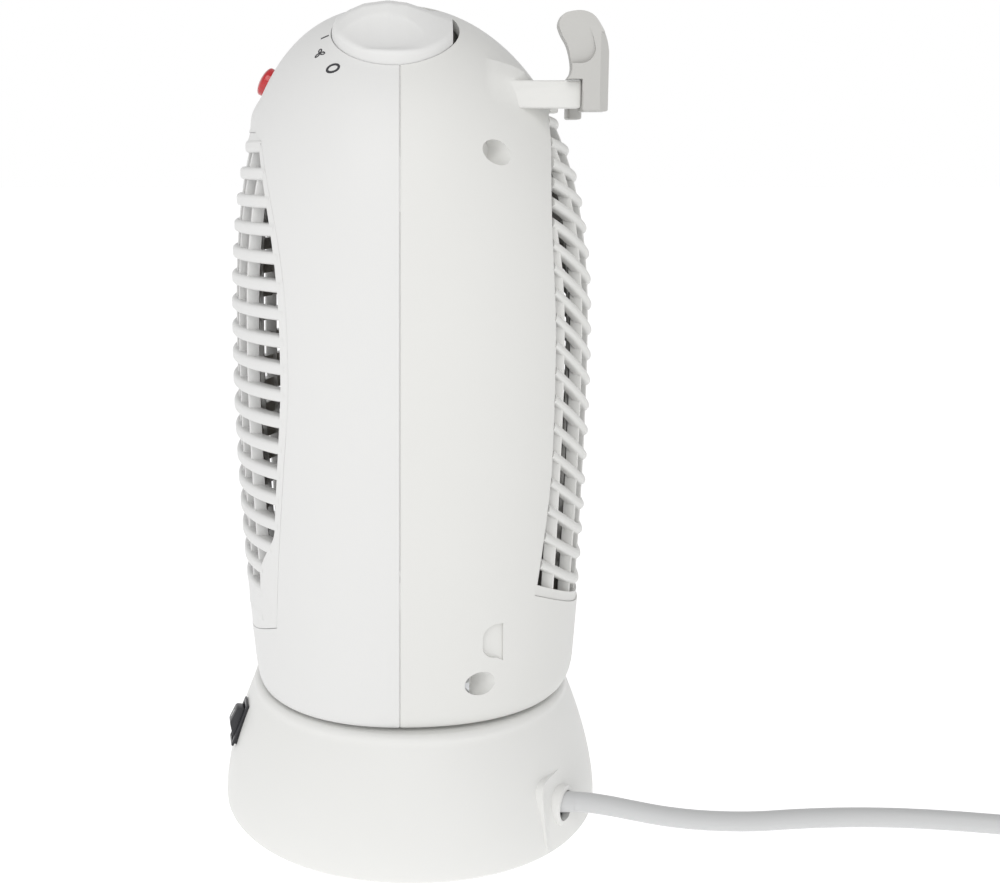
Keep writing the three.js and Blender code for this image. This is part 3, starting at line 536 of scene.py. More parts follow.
def finish(item, body, slot, nodes=(), looks=None):
    """Gives a new piece its material and its body, and hides the CAD nodes that it stands for."""
    item.data.materials.clear()
    item.data.materials.append(FINISHES[looks or slot])
    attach(item, body)
    if nodes:
        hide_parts(*nodes)


# ---- Camera ----

CAMERA_PLACE = (540.0, -4.0, 252.4)
CAMERA_PITCH = 10.0
FOCAL = 1.414 * 36


def add_camera():
    data = bpy.data.cameras.new("camera")
    data.sensor_width = 36
    data.lens = FOCAL
    data.shift_x = 0.100
    data.shift_y = -0.0445
    data.clip_start = 0.02
    camera = place_object("camera", data)
    camera.location = [c * MM for c in CAMERA_PLACE]
    pitch = radians(CAMERA_PITCH)
    forward = Vector((-cos(pitch), 0, -sin(pitch)))
    camera.rotation_euler = forward.to_track_quat("-Z", "Y").to_euler()
    bpy.context.scene.camera = camera


# ---- Cord ----


def centripetal(points, steps):
    """Smooth line through points: a centripetal Catmull-Rom spline."""
    given = [np.array(p, float) for p in points]
    padded = [2 * given[0] - given[1], *given, 2 * given[-1] - given[-2]]
    line = []

    def blend(t, start, end, p, q):
        return (end - t) / (end - start) * p + (t - start) / (end - start) * q

    for p0, p1, p2, p3 in zip(padded, padded[1:], padded[2:], padded[3:]):
        t0 = 0.0
        t1 = t0 + np.linalg.norm(p1 - p0) ** 0.5
        t2 = t1 + np.linalg.norm(p2 - p1) ** 0.5
        t3 = t2 + np.linalg.norm(p3 - p2) ** 0.5
        for t in spread(t1, t2, steps, endpoint=False):
            middle = blend(t, t1, t2, p1, p2)
            before = blend(t, t0, t2, blend(t, t0, t1, p0, p1), middle)
            after = blend(t, t1, t3, middle, blend(t, t2, t3, p2, p3))
            line.append(blend(t, t1, t2, before, after))
    line.append(given[-1])
    return line


def coil_points():
    """Four turns in two layers: out, in, up, in again and out."""
    middle = (COIL["inner"] + COIL["outer"]) / 2
    apart = CORD_RADIUS + 0.12
    shift = radians(50)
    points = []
    steps = 48
    for k in range(4 * steps + 1):
        angle = 2 * pi * k / steps
        inward = ease((angle - 2 * pi + shift) / shift)
        outward = ease((angle - 6 * pi - 0.15) / shift)
        rise = ease((angle - 4 * pi + shift) / shift)
        radius = middle + apart * (1 - 2 * inward + 2 * outward)
        z = CORD_FLOOR_Z + 0.35 + rise * (2 * CORD_RADIUS + 0.1)
        if angle < shift:
            z -= 0.35 * (1 - ease(angle / shift))
        points.append((COIL["x"] + radius * cos(angle), COIL["y"] + radius * sin(angle), z))
    return points


def cord_line():
    turns = coil_points()
    last = turns[-1]
    neck = (PLUG["x"], PLUG["y"] - 8, CORD_FLOOR_Z + 6)
    tail = [
        (last[0] - 0.3, last[1] + 14, last[2]),
        (last[0] - 1.6, last[1] + 32, last[2] - 0.6),
        (neck[0] + 0.3, neck[1] - 6, neck[2] + 0.1),
        neck,
    ]
    return centripetal(CORD_ROUTE, 4) + centripetal(turns + tail, 2)[1:]


def add_cord():
    line = cord_line()
    curve = bpy.data.curves.new("cord", "CURVE")
    curve.dimensions = "3D"
    curve.bevel_depth = CORD_RADIUS * MM
    curve.bevel_resolution = 10
    curve.use_fill_caps = True
    spline = curve.splines.new("POLY")
    spline.points.add(len(line) - 1)
    for point, place in zip(spline.points, line):
        point.co = (*[c * MM for c in place], 1)
    spline.use_smooth = True
    item = place_object("mains_cord", curve)
    length = sum(np.linalg.norm(np.array(b) - np.array(a)) for a, b in zip(line, line[1:]))
    finish(item, "base", "cord_pvc", ("power_cord", "cord_coil"))
    return item, length


def add_cord_tie():
    """Strap round the coil."""
    x = COIL["x"] - (COIL["inner"] + COIL["outer"]) / 2
    half_wide, low, high, radius, half_length = 8.4, 0.05, 15.7, 4, 5
    outline = []
    for across, up, start in ((1, high - radius, 0), (-1, high - radius, 90),
                              (-1, low + radius, 180), (1, low + radius, 270)):
        corner = (x + across * (half_wide - radius), up)
        outline += arc(corner, (radius, radius), start, start + 90, 8)
    tie = prism("coil_tie", outline, COIL["y"] - half_length, COIL["y"] + half_length, "y")
    middle = (low + high) / 2
    inner = [(x + 0.965 * (a - x), middle + 0.965 * (b - middle)) for a, b in outline]
    tie = cut(tie, prism("inside", inner, COIL["y"] - half_length - 1, COIL["y"] + half_length + 1, "y"))
    shade(tie)
    finish(tie, "base", "black_plastic")
    return tie


add_camera()
cord, cord_length = add_cord()
tie = add_cord_tie()

# ---- Plug ----


def rounded_outline(corners, radius, steps=5):
    """Polygon whose corners are replaced by arcs."""
    made = []
    count = len(corners)
    for i in range(count):
        before, here, after = (Vector((*corners[(i + d) % count], 0)) for d in (-1, 0, 1))
        back = (before - here).normalized()
        on = (after - here).normalized()
        cut = min(radius, (before - here).length / 2.1, (after - here).length / 2.1)
        start, end = here + back * cut, here + on * cut
        for t in spread(0, 1, steps):
            point = start * float((1 - t) ** 2) + here * float(2 * t * (1 - t)) + end * float(t**2)
            made.append((point.x, point.y))
    return made


def add_plug():
    """Moulded three-pin plug lying on its back, with a ribbed neck."""
    half, low, high = 25, 6, 40
    outline = rounded_outline([
        (-half, low), (-half, high), (6 - half, high + 6), (half - 6, high + 6),
        (half, high), (half, low), (half - 8, 0), (8 - half, 0),
    ], 5)
    outline = [(x + PLUG["x"], y + PLUG["y"]) for x, y in outline]
    body = bevel(prism("plug", outline, 0.2, 21, "z"), 2.2, 4)
    profile = [(0, -10)]
    for k in range(6):
        along, wider = 2 * k - 10, 0.32 * k
        profile += [(4.3 + wider, along), (4.5 + wider, along + 1.2), (3.9 + wider, along + 1.3),
                    (3.9 + wider, along + 1.9)]
    profile += [(6, 2), (0, 2)]
    neck = turned("neck", profile, (PLUG["x"], PLUG["y"], CORD_FLOOR_Z + 6), (0, 1, 0), 48)
    plug = merge("plug_shell", [body, neck])
    finish(plug, "base", "plug_plastic", ("plug_body",))
    return plug


plug = add_plug()

# ---- Housing shells ----


def half_width(size, z):
    """Half of a grille opening's width at one height."""
    top, upper, upper_run, upper_power = size["above"]
    bottom, lower, lower_run, lower_power = size["below"]
    upper *= (max(0.0, z - top) / upper_run) ** upper_power
    lower *= (max(0.0, bottom - z) / lower_run) ** lower_power
    return size["half"] + upper + lower


def rear_lift(x, centre_z):
    """The rear bars curve upward towards both sides, most of all in the middle of the grille."""
    height = centre_z - REAR_SAG["middle"]
    part = height / REAR_SAG["above" if height > 0 else "below"]
    return REAR_SAG["depth"] * (1 - part**2) * (x / REAR_SAG["across"]) ** 2


def mirrored(side):
    """One side of an outline and its mirror image, without a double point in the middle."""
    return side + [(-x, z) for x, z in reversed(side) if x > 0]


def opening_outline(size, inset=0.0, floor_inset=0.0, top_inset=0.0, corner=5.0):
    """Grille opening as [x, z] points: rounded upper corners and a floor that sags in the middle."""
    high = size["high"] - top_inset
    half_floor = half_width(size, size["corner"]) - inset
    sag = size["corner"] - size["low"]
    bottom = size["low"] + floor_inset
    floor = [(x, bottom + sag * (x / half_floor) ** 2) for x in spread(0, half_floor, 24)]
    side = floor[:-1]
    for z in spread(floor[-1][1], high, 60):
        nearness = max(0.0, corner - (high - z))
        rounding = corner - sqrt(max(0.0, corner**2 - nearness**2))
        side.append((half_width(size, z) - inset - rounding, z))
    return mirrored(side)


def seam_groove():
    """V-shaped groove that follows the housing's outline where the two shells meet."""
    heights = housing_heights(8, 30, 60)
    side = [(reach(SIDE, z), z) for z in heights]
    path = mirrored([(side[0][0] - 12, side[0][1]), *side])
    size = 0.45
    rings = []
    for i, (x, z) in enumerate(path):
        a, b = path[max(0, i - 1)], path[min(len(path) - 1, i + 1)]
        along = Vector((b[0] - a[0], 0, b[1] - a[1])).normalized()
        out = Vector((along.z, 0, -along.x))
        here = Vector((x, SEAM_Y, z))
        wide = Vector((0, size, 0))
        rings.append([here + out * size, here + wide, here - out * size, here - wide])
    return loft("groove", rings)


def knob_axis(side):
    return Vector((side * sin(KNOB_TILT), 0, cos(KNOB_TILT)))


def knob_centre(side):
    return Vector((side * KNOB_X, KNOB_Y, KNOB_Z))


def lens_seat():
    lean = radians(29)
    z = 277.5
    return Vector((0, surface_y(FRONT, 0, z) - 1.2, z - 0.3)), Vector((0, -cos(lean), sin(lean)))


def screw_recess(side, x, z):
    """Round recess over a screw, sunk square to the shell's slope."""
    centre = Vector((side * x, surface_y(REAR, x, z), z))
    out = Vector((side * 0.45, 0.89, 0))
    return rod("recess", centre - 5.5 * out, centre + 14 * out, SCREW_RECESS_RADIUS, 64)


def inset_body():
    """The housing's shape a little smaller all round, which trims what stands inside it."""
    low, heights = HOUSING_BOTTOM_Z + 1, housing_heights(4, 12, 24)[1:-2]
    return loft("inset_body", [housing_ring(max(z, low), 1.2, 100, z) for z in heights])


def housing_skin():
    skin = loft("housing", [housing_ring(z, 0, 200) for z in housing_heights(8, 20, 44)])
    skin = cut(cut(skin, seam_groove()), housing_inner())
    for side in (-1, 1):
        for x, z in SHELL_SCREWS:
            post = rod("post", (side * x, -18, z), (side * x, 62, z), SCREW_POST_RADIUS, 48)
            skin = join(skin, common(post, inset_body()))
        centre, axis = knob_centre(side), knob_axis(side)
        skin = cut(skin, rod("well", centre - 8 * axis, centre + 20 * axis, KNOB_WELL_RADIUS, 128))
    return cut(skin, rod("hole", (0, 0, 49), (0, 0, 55), SWIVEL_HOLE_RADIUS, 64))


def add_front_shell(skin):
    half = common(skin, block("half", -FAR, FAR, -FAR, SEAM_Y - SEAM_GAP / 2, 0, TALL))
    opening = prism("opening", opening_outline(FRONT_GRILLE), -90, -25, "y")
    half = cut(half, opening)
    half = join(half, blind_bar())
    centre, axis = lens_seat()
    half = cut(half, rod("lens_hole", centre - 10 * axis, centre + 10 * axis, LENS_RADIUS + 0.4, 48))
    half.name = "front_housing"
    shade(half)
    finish(half, "housing", "white_plastic", ("front_shell",))


def blind_bar():
    """Soft swelling above the front grille, where the pattern of bars begins."""
    low, high, half, sunk = 260.0, 271.5, 25.0, 1.5
    rings = []
    for z in spread(low, high, 24):
        rise = 1.1 * sin(pi * (z - low) / (high - low)) ** 1.2
        ring = []
        for x in spread(-half, half, 51):
            fade = cos(pi / 2 * x / half) ** 0.8 if abs(x) < half else 0
            ring.append((x, surface_y(FRONT, x, z) - rise * fade + 0.02, z))
        ring += [(x, surface_y(FRONT, half, z) + sunk, z) for x in (half, -half)]
        rings.append(ring)
    return loft("blind_bar", rings)


ARM_CROWN = [(20, 285.4), (24, 284.6), (30, 283), (35.6, 281.2), (39.5, 279), (42.5, 276.6), (43.5, 276.1)]
ARM_FILLET = [(24, 12), (30, 8), (35, 3.5), (39, 1)]


def arm(side):
    """Flat arm that carries the grip."""
    inner, outer = sorted((side * ARM["inner"], side * ARM["outer"]))
    return bevel(block("arm", inner, outer, 20, ARM["end"] + 0.2, ARM["low"], ARM["high"]), 0.8)


def dome_height(x, y):
    """Height of the housing's surface over (x, y)."""
    direction = FRONT if y < SEAM_Y else REAR
    low, high = WAIST_Z, HOUSING_TOP_Z
    for _ in range(40):
        z = (low + high) / 2
        wide, deep = reach(SIDE, z), reach(direction, z)
        inside = (abs(x) / wide) ** PLAN_SQUARENESS + (abs(y - SEAM_Y) / deep) ** PLAN_SQUARENESS < 1
        low, high = (z, high) if inside else (low, z)
    return low


def arm_root(side):
    """Swelling of the dome that runs out into the arm: wide and soft in front, square behind."""
    middle = (ARM["inner"] + ARM["outer"]) / 2
    columns, rows = spread(20, 52, 97), spread(20, 43.5, 48)
    top, bottom = [], []
    for y in rows:
        fillet = along_table(ARM_FILLET, y)
        crown = along_table(ARM_CROWN, y)
        climb = max(0.0, crown - dome_height(middle, y))
        for x in columns:
            dome = dome_height(x, y)
            part = clamp((abs(x - middle) - 4) / fillet)
            clear = clamp((dome - ARM["low"]) / 3)
            share = ease((y - 22) / 8) * clear * (1 + cos(pi * part)) / 2
            sunk = 0.2 + 1.3 * max(0.0, 1 - share / 0.06)
            top.append((side * x, y, min(dome + share * climb, max(dome, crown)) - sunk))
            bottom.append((side * x, y, dome - 3))
    return slab("arm_root", top, bottom, len(rows), len(columns))


def pocket(side):
    """Recess with a round forward edge, low in the rear shell. Its floor slants with the wall."""
    outline = [(32.6, 73.5), (32.5, 87.4), *arc((30.4, 82.6), (5.2, 4.8), 90, 180, 10)]
    outline += arc((30.4, 79.2), (5.2, 4.4), 180, 270, 10)
    floor = [(side * (62.3 - 0.33 * (y - 25.2)), y, z) for y, z in outline]
    return loft("pocket", [floor, [(side * 75, y, z) for y, z in outline]])


def add_rear_shell(skin):
    half = common(skin, block("half", -FAR, FAR, SEAM_Y + SEAM_GAP / 2, FAR, 0, TALL))
    for side in (-1, 1):
        branch = join(arm(side), arm_root(side))
        half = join(half, cut(branch, housing_inner()))
    half = cut(half, prism("opening", opening_outline(REAR_GRILLE), 20, 90, "y"))
    for side in (-1, 1):
        for x, z in SCREW_RECESSES:
            half = cut(half, screw_recess(side, x, z))
        half = cut(half, pocket(side))
    half.name = "rear_housing"
    shade(half)
    finish(half, "housing", "warm_plastic", ("rear_shell",))


# ---- Grilles ----


def nose_section(height, depth, radius):
    """Bar section as (outward, up): rounded nose, square back."""
    section = [(-depth, -height / 2), (-depth, height / 2)]
    for sign, start in ((1, 90), (-1, 0)):
        section += arc((-radius, sign * (height / 2 - radius)), (radius, radius), start, start - 90, 6)
    return section


def grille_bar(direction, centre_z, half, lift, section):
    """Bar set along the housing's surface."""
    sign = direction["sign"]
    rings = []
    for x in spread(-half, half, 41):
        z = centre_z + lift(x, centre_z)
        ahead = min(half, x + 0.5)
        back = max(-half, x - 0.5)
        run = ahead - back
        dy = surface_y(direction, ahead, z) - surface_y(direction, back, z)
        dz = lift(ahead, centre_z) - lift(back, centre_z)
        normal = Vector((-dy, run, 0)).normalized() * sign
        up = Vector((-dz, 0, run)).normalized()
        origin = Vector((x, surface_y(direction, x, z), z))
        rings.append([origin + normal * out + up * rise for out, rise in section])
    return loft("bar", rings)


def grille_rib(direction, x, low, high, behind):
    sign = direction["sign"]
    half, edge, deep = RIB_WIDTH / 2, 0.5, 4.5
    flat = half - edge
    section = [(-half, -deep), (half, -deep), (half, -edge), (flat, 0), (-flat, 0), (-half, -edge)]
    rings = []
    for z in spread(low, high, 40):
        front = surface_y(direction, x, z) - sign * behind
        rings.append([(x + dx, front + sign * dy, z) for dx, dy in section])
    return loft("rib", rings)


def grille_rows(size, lift, limit):
    """Height and half length of each bar: as wide as the opening, or as the limit if that is less."""
    rows = []
    for i in range(size["bars"]):
        z = size["top_bar"] - i * size["pitch"]
        end_z = z + lift(half_width(size, z), z)
        rows.append((z, min(limit(z), half_width(size, end_z) - BAR_END_GAP)))
    return rows


def grille_rim(direction, size, window, behind):
    """Panel that fills the opening, with one large window left for the bars.

    behind(z) is how far it stands back from the shell's surface.
    """
    sign = direction["sign"]
    rows = spread(size["low"] - 3, size["high"] + 2, 90)
    columns = spread(-1, 1, 81)
    layers = []
    for back in (0, PANEL_THICKNESS):
        layer = []
        for z in rows:
            half = half_width(size, max(z, size["corner"])) + 3
            for x in [part * half for part in columns]:
                layer.append((x, surface_y(direction, x, z) - sign * (behind(z) + back), z))
        layers.append(layer)
    panel = slab("panel", *layers, len(rows), len(columns))
    depth = (-FAR, -10) if direction is FRONT else (10, FAR)
    outline = opening_outline(size, 0.36, 0.1, 0.1)
    panel = common(panel, prism("trim", outline, *depth, "y"))
    return cut(panel, prism("window", window, *depth, "y"))


def front_window_half_width(z):
    """The rim beside the bars is narrow, and widens below to leave a narrower slot."""
    return half_width(FRONT_GRILLE, z) - RIM_WIDTH - 8.5 * ease((118 - z) / 20)


def front_window():
    """Outline of the pierced part of the front grille."""
    return mirrored([(front_window_half_width(z), z) for z in spread(90, 253, 90)])


def front_panel_depth(z):
    """The front panel is flush beside the bars, and a little sunk where it is closed above them."""
    return 0.12 + 0.3 * clamp((z - 254.5) / 1.5)


def add_grille(name, node, slot, direction, size, lift, limit, window, behind, rib, section):
    """rib holds the ribs' pitch and how far they stand behind the shell's surface."""
    rows = grille_rows(size, lift, limit)
    guard = grille_rim(direction, size, window, behind)
    for z, half in rows:
        guard = join(guard, grille_bar(direction, z, half, lift, section))
    corner = size["corner"]
    for x in [rib["pitch"] * k for k in range(-3, 4)]:
        crossed = [z for z, half in rows if half > abs(x) + RIB_WIDTH / 2]
        low = corner - (corner - size["low"]) * (1 - (x / half_width(size, corner)) ** 2)
        high = crossed[0] + lift(x, crossed[0])
        guard = join(guard, grille_rib(direction, x, low + 1.5, high, rib["behind"]))
    guard.name = name
    shade(guard, 40)
    finish(guard, "housing", slot, (node,))


skin = housing_skin()
rear_skin = place_object("rear_skin", skin.data.copy())
add_front_shell(skin)
add_rear_shell(rear_skin)
add_grille(
    "front_guard", "front_grille", "white_plastic", FRONT, FRONT_GRILLE,
    lambda x, z: 0.0, lambda z: front_window_half_width(z) + 1.2, front_window(), front_panel_depth,
    dict(pitch=11.7, behind=1.9), nose_section(4.4, 5.0, 1.3),
)
add_grille(
    "rear_guard", "rear_grille", "warm_plastic", REAR, REAR_GRILLE,
    rear_lift, lambda z: half_width(REAR_GRILLE, z), opening_outline(REAR_GRILLE, 0.9, 3.6, 0.9, 4.0),
    lambda z: 0.6, dict(pitch=14.5, behind=1.5), nose_section(4.2, 4.0, 2.0),
)

# ---- Knobs ----

KNOB_RIM = 5.0
KNOB_FILLET = 1.6
RIDGE = [(-22.3, 5.0), (-20.5, 7.6), (-16, 11), (-10.7, 13.2), (-2.5, 14.3), (4, 13.5), (8, 12.1), (20, 7.8)]


def knob_height(x, y):
    """Top of the knob: a disc with a grip ridge along Y and a thumb scoop on both sides of it."""
    ridge = along_table(RIDGE, y) - KNOB_RIM
    slope = max(0.0, 1 - max(0.0, abs(x) - 1.5) / 17.5)
    scoop = max(0.0, 1 - ((abs(x) - 12.5) / 7.6) ** 2 - ((y + 5) / 15) ** 2)
    return KNOB_RIM + ridge * slope**1.25 - 0.7 * scoop**0.7


def add_knob(name, node, side):
    edge = KNOB_RADIUS - KNOB_FILLET
    radii = spread(0, edge, 26)
    radii += [edge + KNOB_FILLET * sin(t) for t in spread(0, pi / 2, 7)[1:]]
    spokes = arc((0, 0), (1, 1), 0, 360, 145)[:-1]
    rings = []
    for r in radii:
        fall = clamp((r - edge) / KNOB_FILLET)
        drop = KNOB_FILLET * (1 - sqrt(1 - fall**2))
        rings.append([(r * a, r * b, knob_height(r * a, r * b) - drop) for a, b in spokes])
    rings.append([(KNOB_RADIUS * a, KNOB_RADIUS * b, -3) for a, b in spokes])
    knob = cut(loft(name, rings), block("square_end", -30, 30, KNOB_CHORD_Y, 30, -10, 20))
    knob = cut(knob, rod("socket", (0, 0, -4), (0, 0, 3.9), 3.3, 48))
    shade(knob, 38)
    turn = Matrix.Rotation(side * KNOB_TILT, 4, "Y")
    knob.data.transform(Matrix.Translation(knob_centre(side) * MM) @ turn)
    finish(knob, node, "white_plastic", (node,))


add_knob("mode_dial", "mode_knob", 1)
add_knob("thermostat_dial", "thermostat_knob", -1)

# ---- Dial symbols on the front shell ----


def on_dome(x, y):
    """Point a little above the dome over (x, y), and the surface's normal there."""
    step, lift = 0.3, 0.08
    here = Vector((x, y, dome_height(x, y)))
    slope_x = (dome_height(x + step, y) - dome_height(x - step, y)) / (2 * step)
    slope_y = (dome_height(x, y + step) - dome_height(x, y - step)) / (2 * step)
    normal = Vector((-slope_x, -slope_y, 1)).normalized()
    return here + normal * lift, normal


def draw_mark(name, x, y, strokes, width):
    """Thin raised strokes that follow the dome: polylines in axes that lie on it, the first along Y."""
    centre, normal = on_dome(x, y)
    first = (Vector((0, 1, 0)) - normal.y * normal).normalized()
    second = normal.cross(first)
    bodies = []
    for stroke in strokes:
        places = [on_dome(*(centre + a * first + b * second).xy) for a, b in stroke]
        rings = []
        for i, (point, normal) in enumerate(places):
            before = places[max(0, i - 1)][0]
            after = places[min(len(places) - 1, i + 1)][0]
            along = (after - before).normalized()
            wide = along.cross(normal).normalized() * width / 2
            deep = normal * 0.5
            rings.append([point + wide, point - wide, point - wide - deep, point + wide - deep])
        bodies.append(loft("stroke", rings))
    finish(merge(name, bodies), "housing", "black_plastic", looks="mark_ink")


def fan_strokes():
    blades = []
    for k in range(3):
        turn = radians(90 + 120 * k)
        c, s = cos(turn), sin(turn)
        blades.append([(a * c - b * s, a * s + b * c) for a, b in arc((1.2, 0), (0.9, 0.55), 0, 360, 20)])
    return blades


def add_marks():
    ring = arc((0, 0), (2.2, 1.584), 0, 360, 40)
    bar = [(a, 0) for a in spread(-1.55, 1.55, 8)]
    for side, name in ((1, "near"), (-1, "far")):
        draw_mark("mark_off_" + name, side * 44.1, -26.9, [ring], 0.9)
        draw_mark("mark_fan_" + name, side * 36.1, -31.7, fan_strokes(), 0.5)
        draw_mark("mark_one_" + name, side * 29.8, -30.3, [bar], 0.7)


add_marks()

# ---- Handle grip ----


def hook_outline():
    """Cord hook in side view, as [y, z]: upright behind, its lip curling forward at the top."""
    curl = [
        (53.4, 276.35), (54.4, 277.6), (54.9, 279.4), (54.6, 283), (53.4, 287.4), (51.2, 291.4),
        (50.2, 294.6), (51.6, 297.8), (55.2, 299), (58.8, 299), (62, 297.6), (65, 293.6), (67, 289.4),
        (GRIP["end"], 285.6),
    ]
    smooth = centripetal([(y, z, 0) for y, z in curl], 6)
    foot = [(GRIP["start"], 272.0), (GRIP["start"], curl[0][1])]
    return [*foot, *[(p[0], p[1]) for p in smooth], (GRIP["end"], foot[0][1])]


def add_grip():
    inner, outer = GRIP["inner"], GRIP["outer"]
    start, end = GRIP["start"], GRIP["end"]
    low, high = GRIP["low"], GRIP["high"]
    hook = bevel(prism("carry_handle", hook_outline(), outer - GRIP["blade"], outer, "x"), 0.9, 3, 50)
    near = bevel(block("near", inner, outer, start, end, low, high), 0.8)
    far = bevel(block("far", -outer, -inner, start + 3.7, end, low - 1.2, high), 0.8)
    bar = bevel(block("bar", -outer + 1, outer - 1, start + 0.2, end - 0.2, low + 5.6, high), 0.9)
    for piece in (near, far, bar):
        hook = join(hook, piece)
    # Bevelled rear edge of the hook, and the thumb hollow in its side.
    back, slope = outer - 2.6, end - 3.2
    wedge = [(back, end + 1), (outer + 1, end + 1), (outer + 1, slope), (outer, slope), (back, end)]
    hook = cut(hook, prism("wedge", wedge, 250, 292, "z"))
    x, z = GRIP_SCREW
    for side in (-1, 1):
        hook = cut(hook, rod("bore", (side * x, end - 3, z), (side * x, end + 2.2, z), 2.8, 32))
    hook = cut(hook, thumb_hollow(outer))
    shade(hook, 38)
    # The grip's darker copy of the warm plastic is painted shade.
    finish(hook, "housing", "warm_plastic", ("handle_grip",), "grip_plastic")


def thumb_hollow(outer):
    """Slanted pocket in the hook's side: deepest at its round lower end, fading out at the top."""
    low, high, front, back, radius = 281.6, 294.0, 49, 62.9, 5
    round_end = arc((back - radius, low + radius), (radius, radius), -90, 0, 14)
    outline = [(front, low), (back - radius, low), *round_end]
    outline += [(back - 0.8, 290), (back - 2.4, high), (front, high)]
    inside = [(outer + 0.05 - 1.9 * (high - z) / (high - low), y, z) for y, z in outline]
    return loft("hollow", [inside, [(outer + 3, y, z) for y, z in outline]])


add_grip()

# ---- Indicator lens ----


def add_lens():
    centre, axis = lens_seat()
    profile = [(0, -5), (LENS_RADIUS, -5), *arc((0, 0.4), (LENS_RADIUS, 2.1), 0, 90, 10)]
    lens = turned("neon_lens", profile, centre, axis, 64)
    shade(lens, 50)
    finish(lens, "housing", "red_lens", ("indicator_lens",))


add_lens()

# ---- Base ----


def hole_axis():
    turn = radians(CORD_HOLE_TURN)
    return Vector((sin(turn), cos(turn), 0))


def rocker_frame():
    turn, lean = radians(ROCKER["turn"]), radians(ROCKER["lean"])
    level = cos(lean)
    out = Vector((sin(turn) * level, -cos(turn) * level, sin(lean)))
    across = Vector((cos(turn), sin(turn), 0))
    up = out.cross(across)
    scale = base_scale(ROCKER["z"])
    part = (ROCKER["x"] / (BASE_HALF_WIDTH * scale)) ** BASE_SQUARENESS
    y = -BASE_HALF_DEPTH * scale * (1 - part) ** (1 / BASE_SQUARENESS)
    place = Matrix.Translation(Vector((ROCKER["x"], y, ROCKER["z"])) * MM)
    return place @ Matrix((across, up, out)).transposed().to_4x4()


def cord_panel():
    """Flat panel moulded round the cord hole, its upper corner rounded."""
    axis = hole_axis()
    across = Vector((axis.y, -axis.x, 0))
    centre = Vector(CORD_HOLE)
    outline = rounded_outline([(-10.5, -13.8), (-10.5, 12.5), (14, 12.5), (14, -13.8)], 6, 8)
    lean = 0.11
    rings = []
    for depth in (-7.0, -1.3):
        ring = [(centre + across * a + Vector((0, 0, b)), depth - lean * b) for a, b in outline]
        rings.append([place + axis * out for place, out in ring])
    return loft("panel", rings)


def add_base():
    heights = [BASE_RIM_Z, 1.4, 2.2, *spread(3.2, BASE_TOP_Z - 3, 34)]
    rings = [base_ring(heights[0], 0.7, 200), *[base_ring(z, 0, 200) for z in heights[1:]]]
    edge = 3.0
    for t in spread(0, pi / 2, 8)[1:]:
        z = BASE_TOP_Z - edge + edge * sin(t)
        rings.append(base_ring(BASE_TOP_Z - edge, edge * (1 - cos(t)), 200, z))
    shell = loft("base_housing", rings)
    axis = hole_axis()
    centre = Vector(CORD_HOLE)
    shell = join(shell, cord_panel())
    collar = bevel(rod("collar", centre - 6 * axis, centre + 1.3 * axis, 7.5, 64), 0.5)
    shell = join(shell, collar)
    inner = [base_ring(z, WALL, 120) for z in (0, 4, 10, 16, 22, 28, 34, 40, BASE_TOP_Z - 3)]
    shell = cut(shell, loft("hollow", inner))
    shell = cut(shell, rod("swivel_hole", (0, 0, 40), (0, 0, 60), SWIVEL_HOLE_RADIUS, 64))
    shell = cut(shell, rod("cord_hole", centre - 16 * axis, centre + 9 * axis, 5.6, 64))
    across, along = ROCKER["half_width"] - 0.65, ROCKER["half_length"] - 0.6
    window = block("window", -across, across, -along, along, -12, 8)
    window.data.transform(rocker_frame())
    shell = cut(shell, window)
    shade(shell)
    # The base's lighter copy of the white plastic is painted light.
    finish(shell, "base", "white_plastic", ("base_shell",), "base_plastic")


def add_strain_relief():
    """Tapered sleeve moulded on the cord, 24 mm long, ending where the cord leaves the base."""
    start, second = Vector(CORD_ROUTE[0]), Vector(CORD_ROUTE[1])
    profile = [(0, -24), (5.0, -24), (5.0, -22)]
    for k in range(4):
        low, size = 4 * k - 20, 4.9 - 0.22 * k
        profile += [(size, low), (size - 0.3, low + 0.5), (size - 0.3, low + 1.4), (size - 0.1, low + 1.9)]
    profile += [(3.95, -4), (3.67, -0.05), (0, -0.02)]
    sleeve = turned("cord_sleeve", profile, start, second - start, 48)
    shade(sleeve, 40)
    finish(sleeve, "base", "white_plastic", ("strain_relief",), "cord_pvc")


def add_switch():
    width, length = ROCKER["half_width"], ROCKER["half_length"]
    across, along = width - 0.95, length - 0.9
    surround = bevel(block("switch_surround", -width, width, -length, length, 0.35, 1.35), 0.35)
    surround = join(surround, block("body", -across, across, -along, along, -11, 0.7))
    hollow = block("cut", 0.8 - across, across - 0.8, 0.45 - along, along - 0.45, -5, 4)
    surround = cut(surround, hollow)
    surround.data.transform(rocker_frame())
    shade(surround)
    finish(surround, "base", "black_plastic", ("rocker_bezel",))
    side = [(-6.3, 0.5), (-6.3, 1.2), (-0.8, 4.7), (5.6, 4.1), (6.3, 0.8), (2.8, -2.6), (-2.8, -2.6)]
    half = width - 2.1
    paddle = bevel(prism("switch_paddle", rounded_outline(side, 0.9, 5), -half, half, "x"), 0.3, 2, 60)
    paddle.data.transform(rocker_frame())
    shade(paddle)
    finish(paddle, "rocker", "black_plastic", ("rocker",))
    add_switch_marks()


def slab_on(name, outline, base, slope):
    """Flat printed mark on a face of the paddle. base is (up, out); slope turns it in side view."""
    angle = atan2(slope[1], slope[0])
    bottom, top = [], []
    for a, b in outline:
        up = base[0] + b * cos(angle)
        out = base[1] + b * sin(angle)
        bottom.append((a, up + 0.15 * sin(angle), out - 0.15 * cos(angle)))
        top.append((a, up - 0.08 * sin(angle), out + 0.08 * cos(angle)))
    return loft(name, [bottom, top])


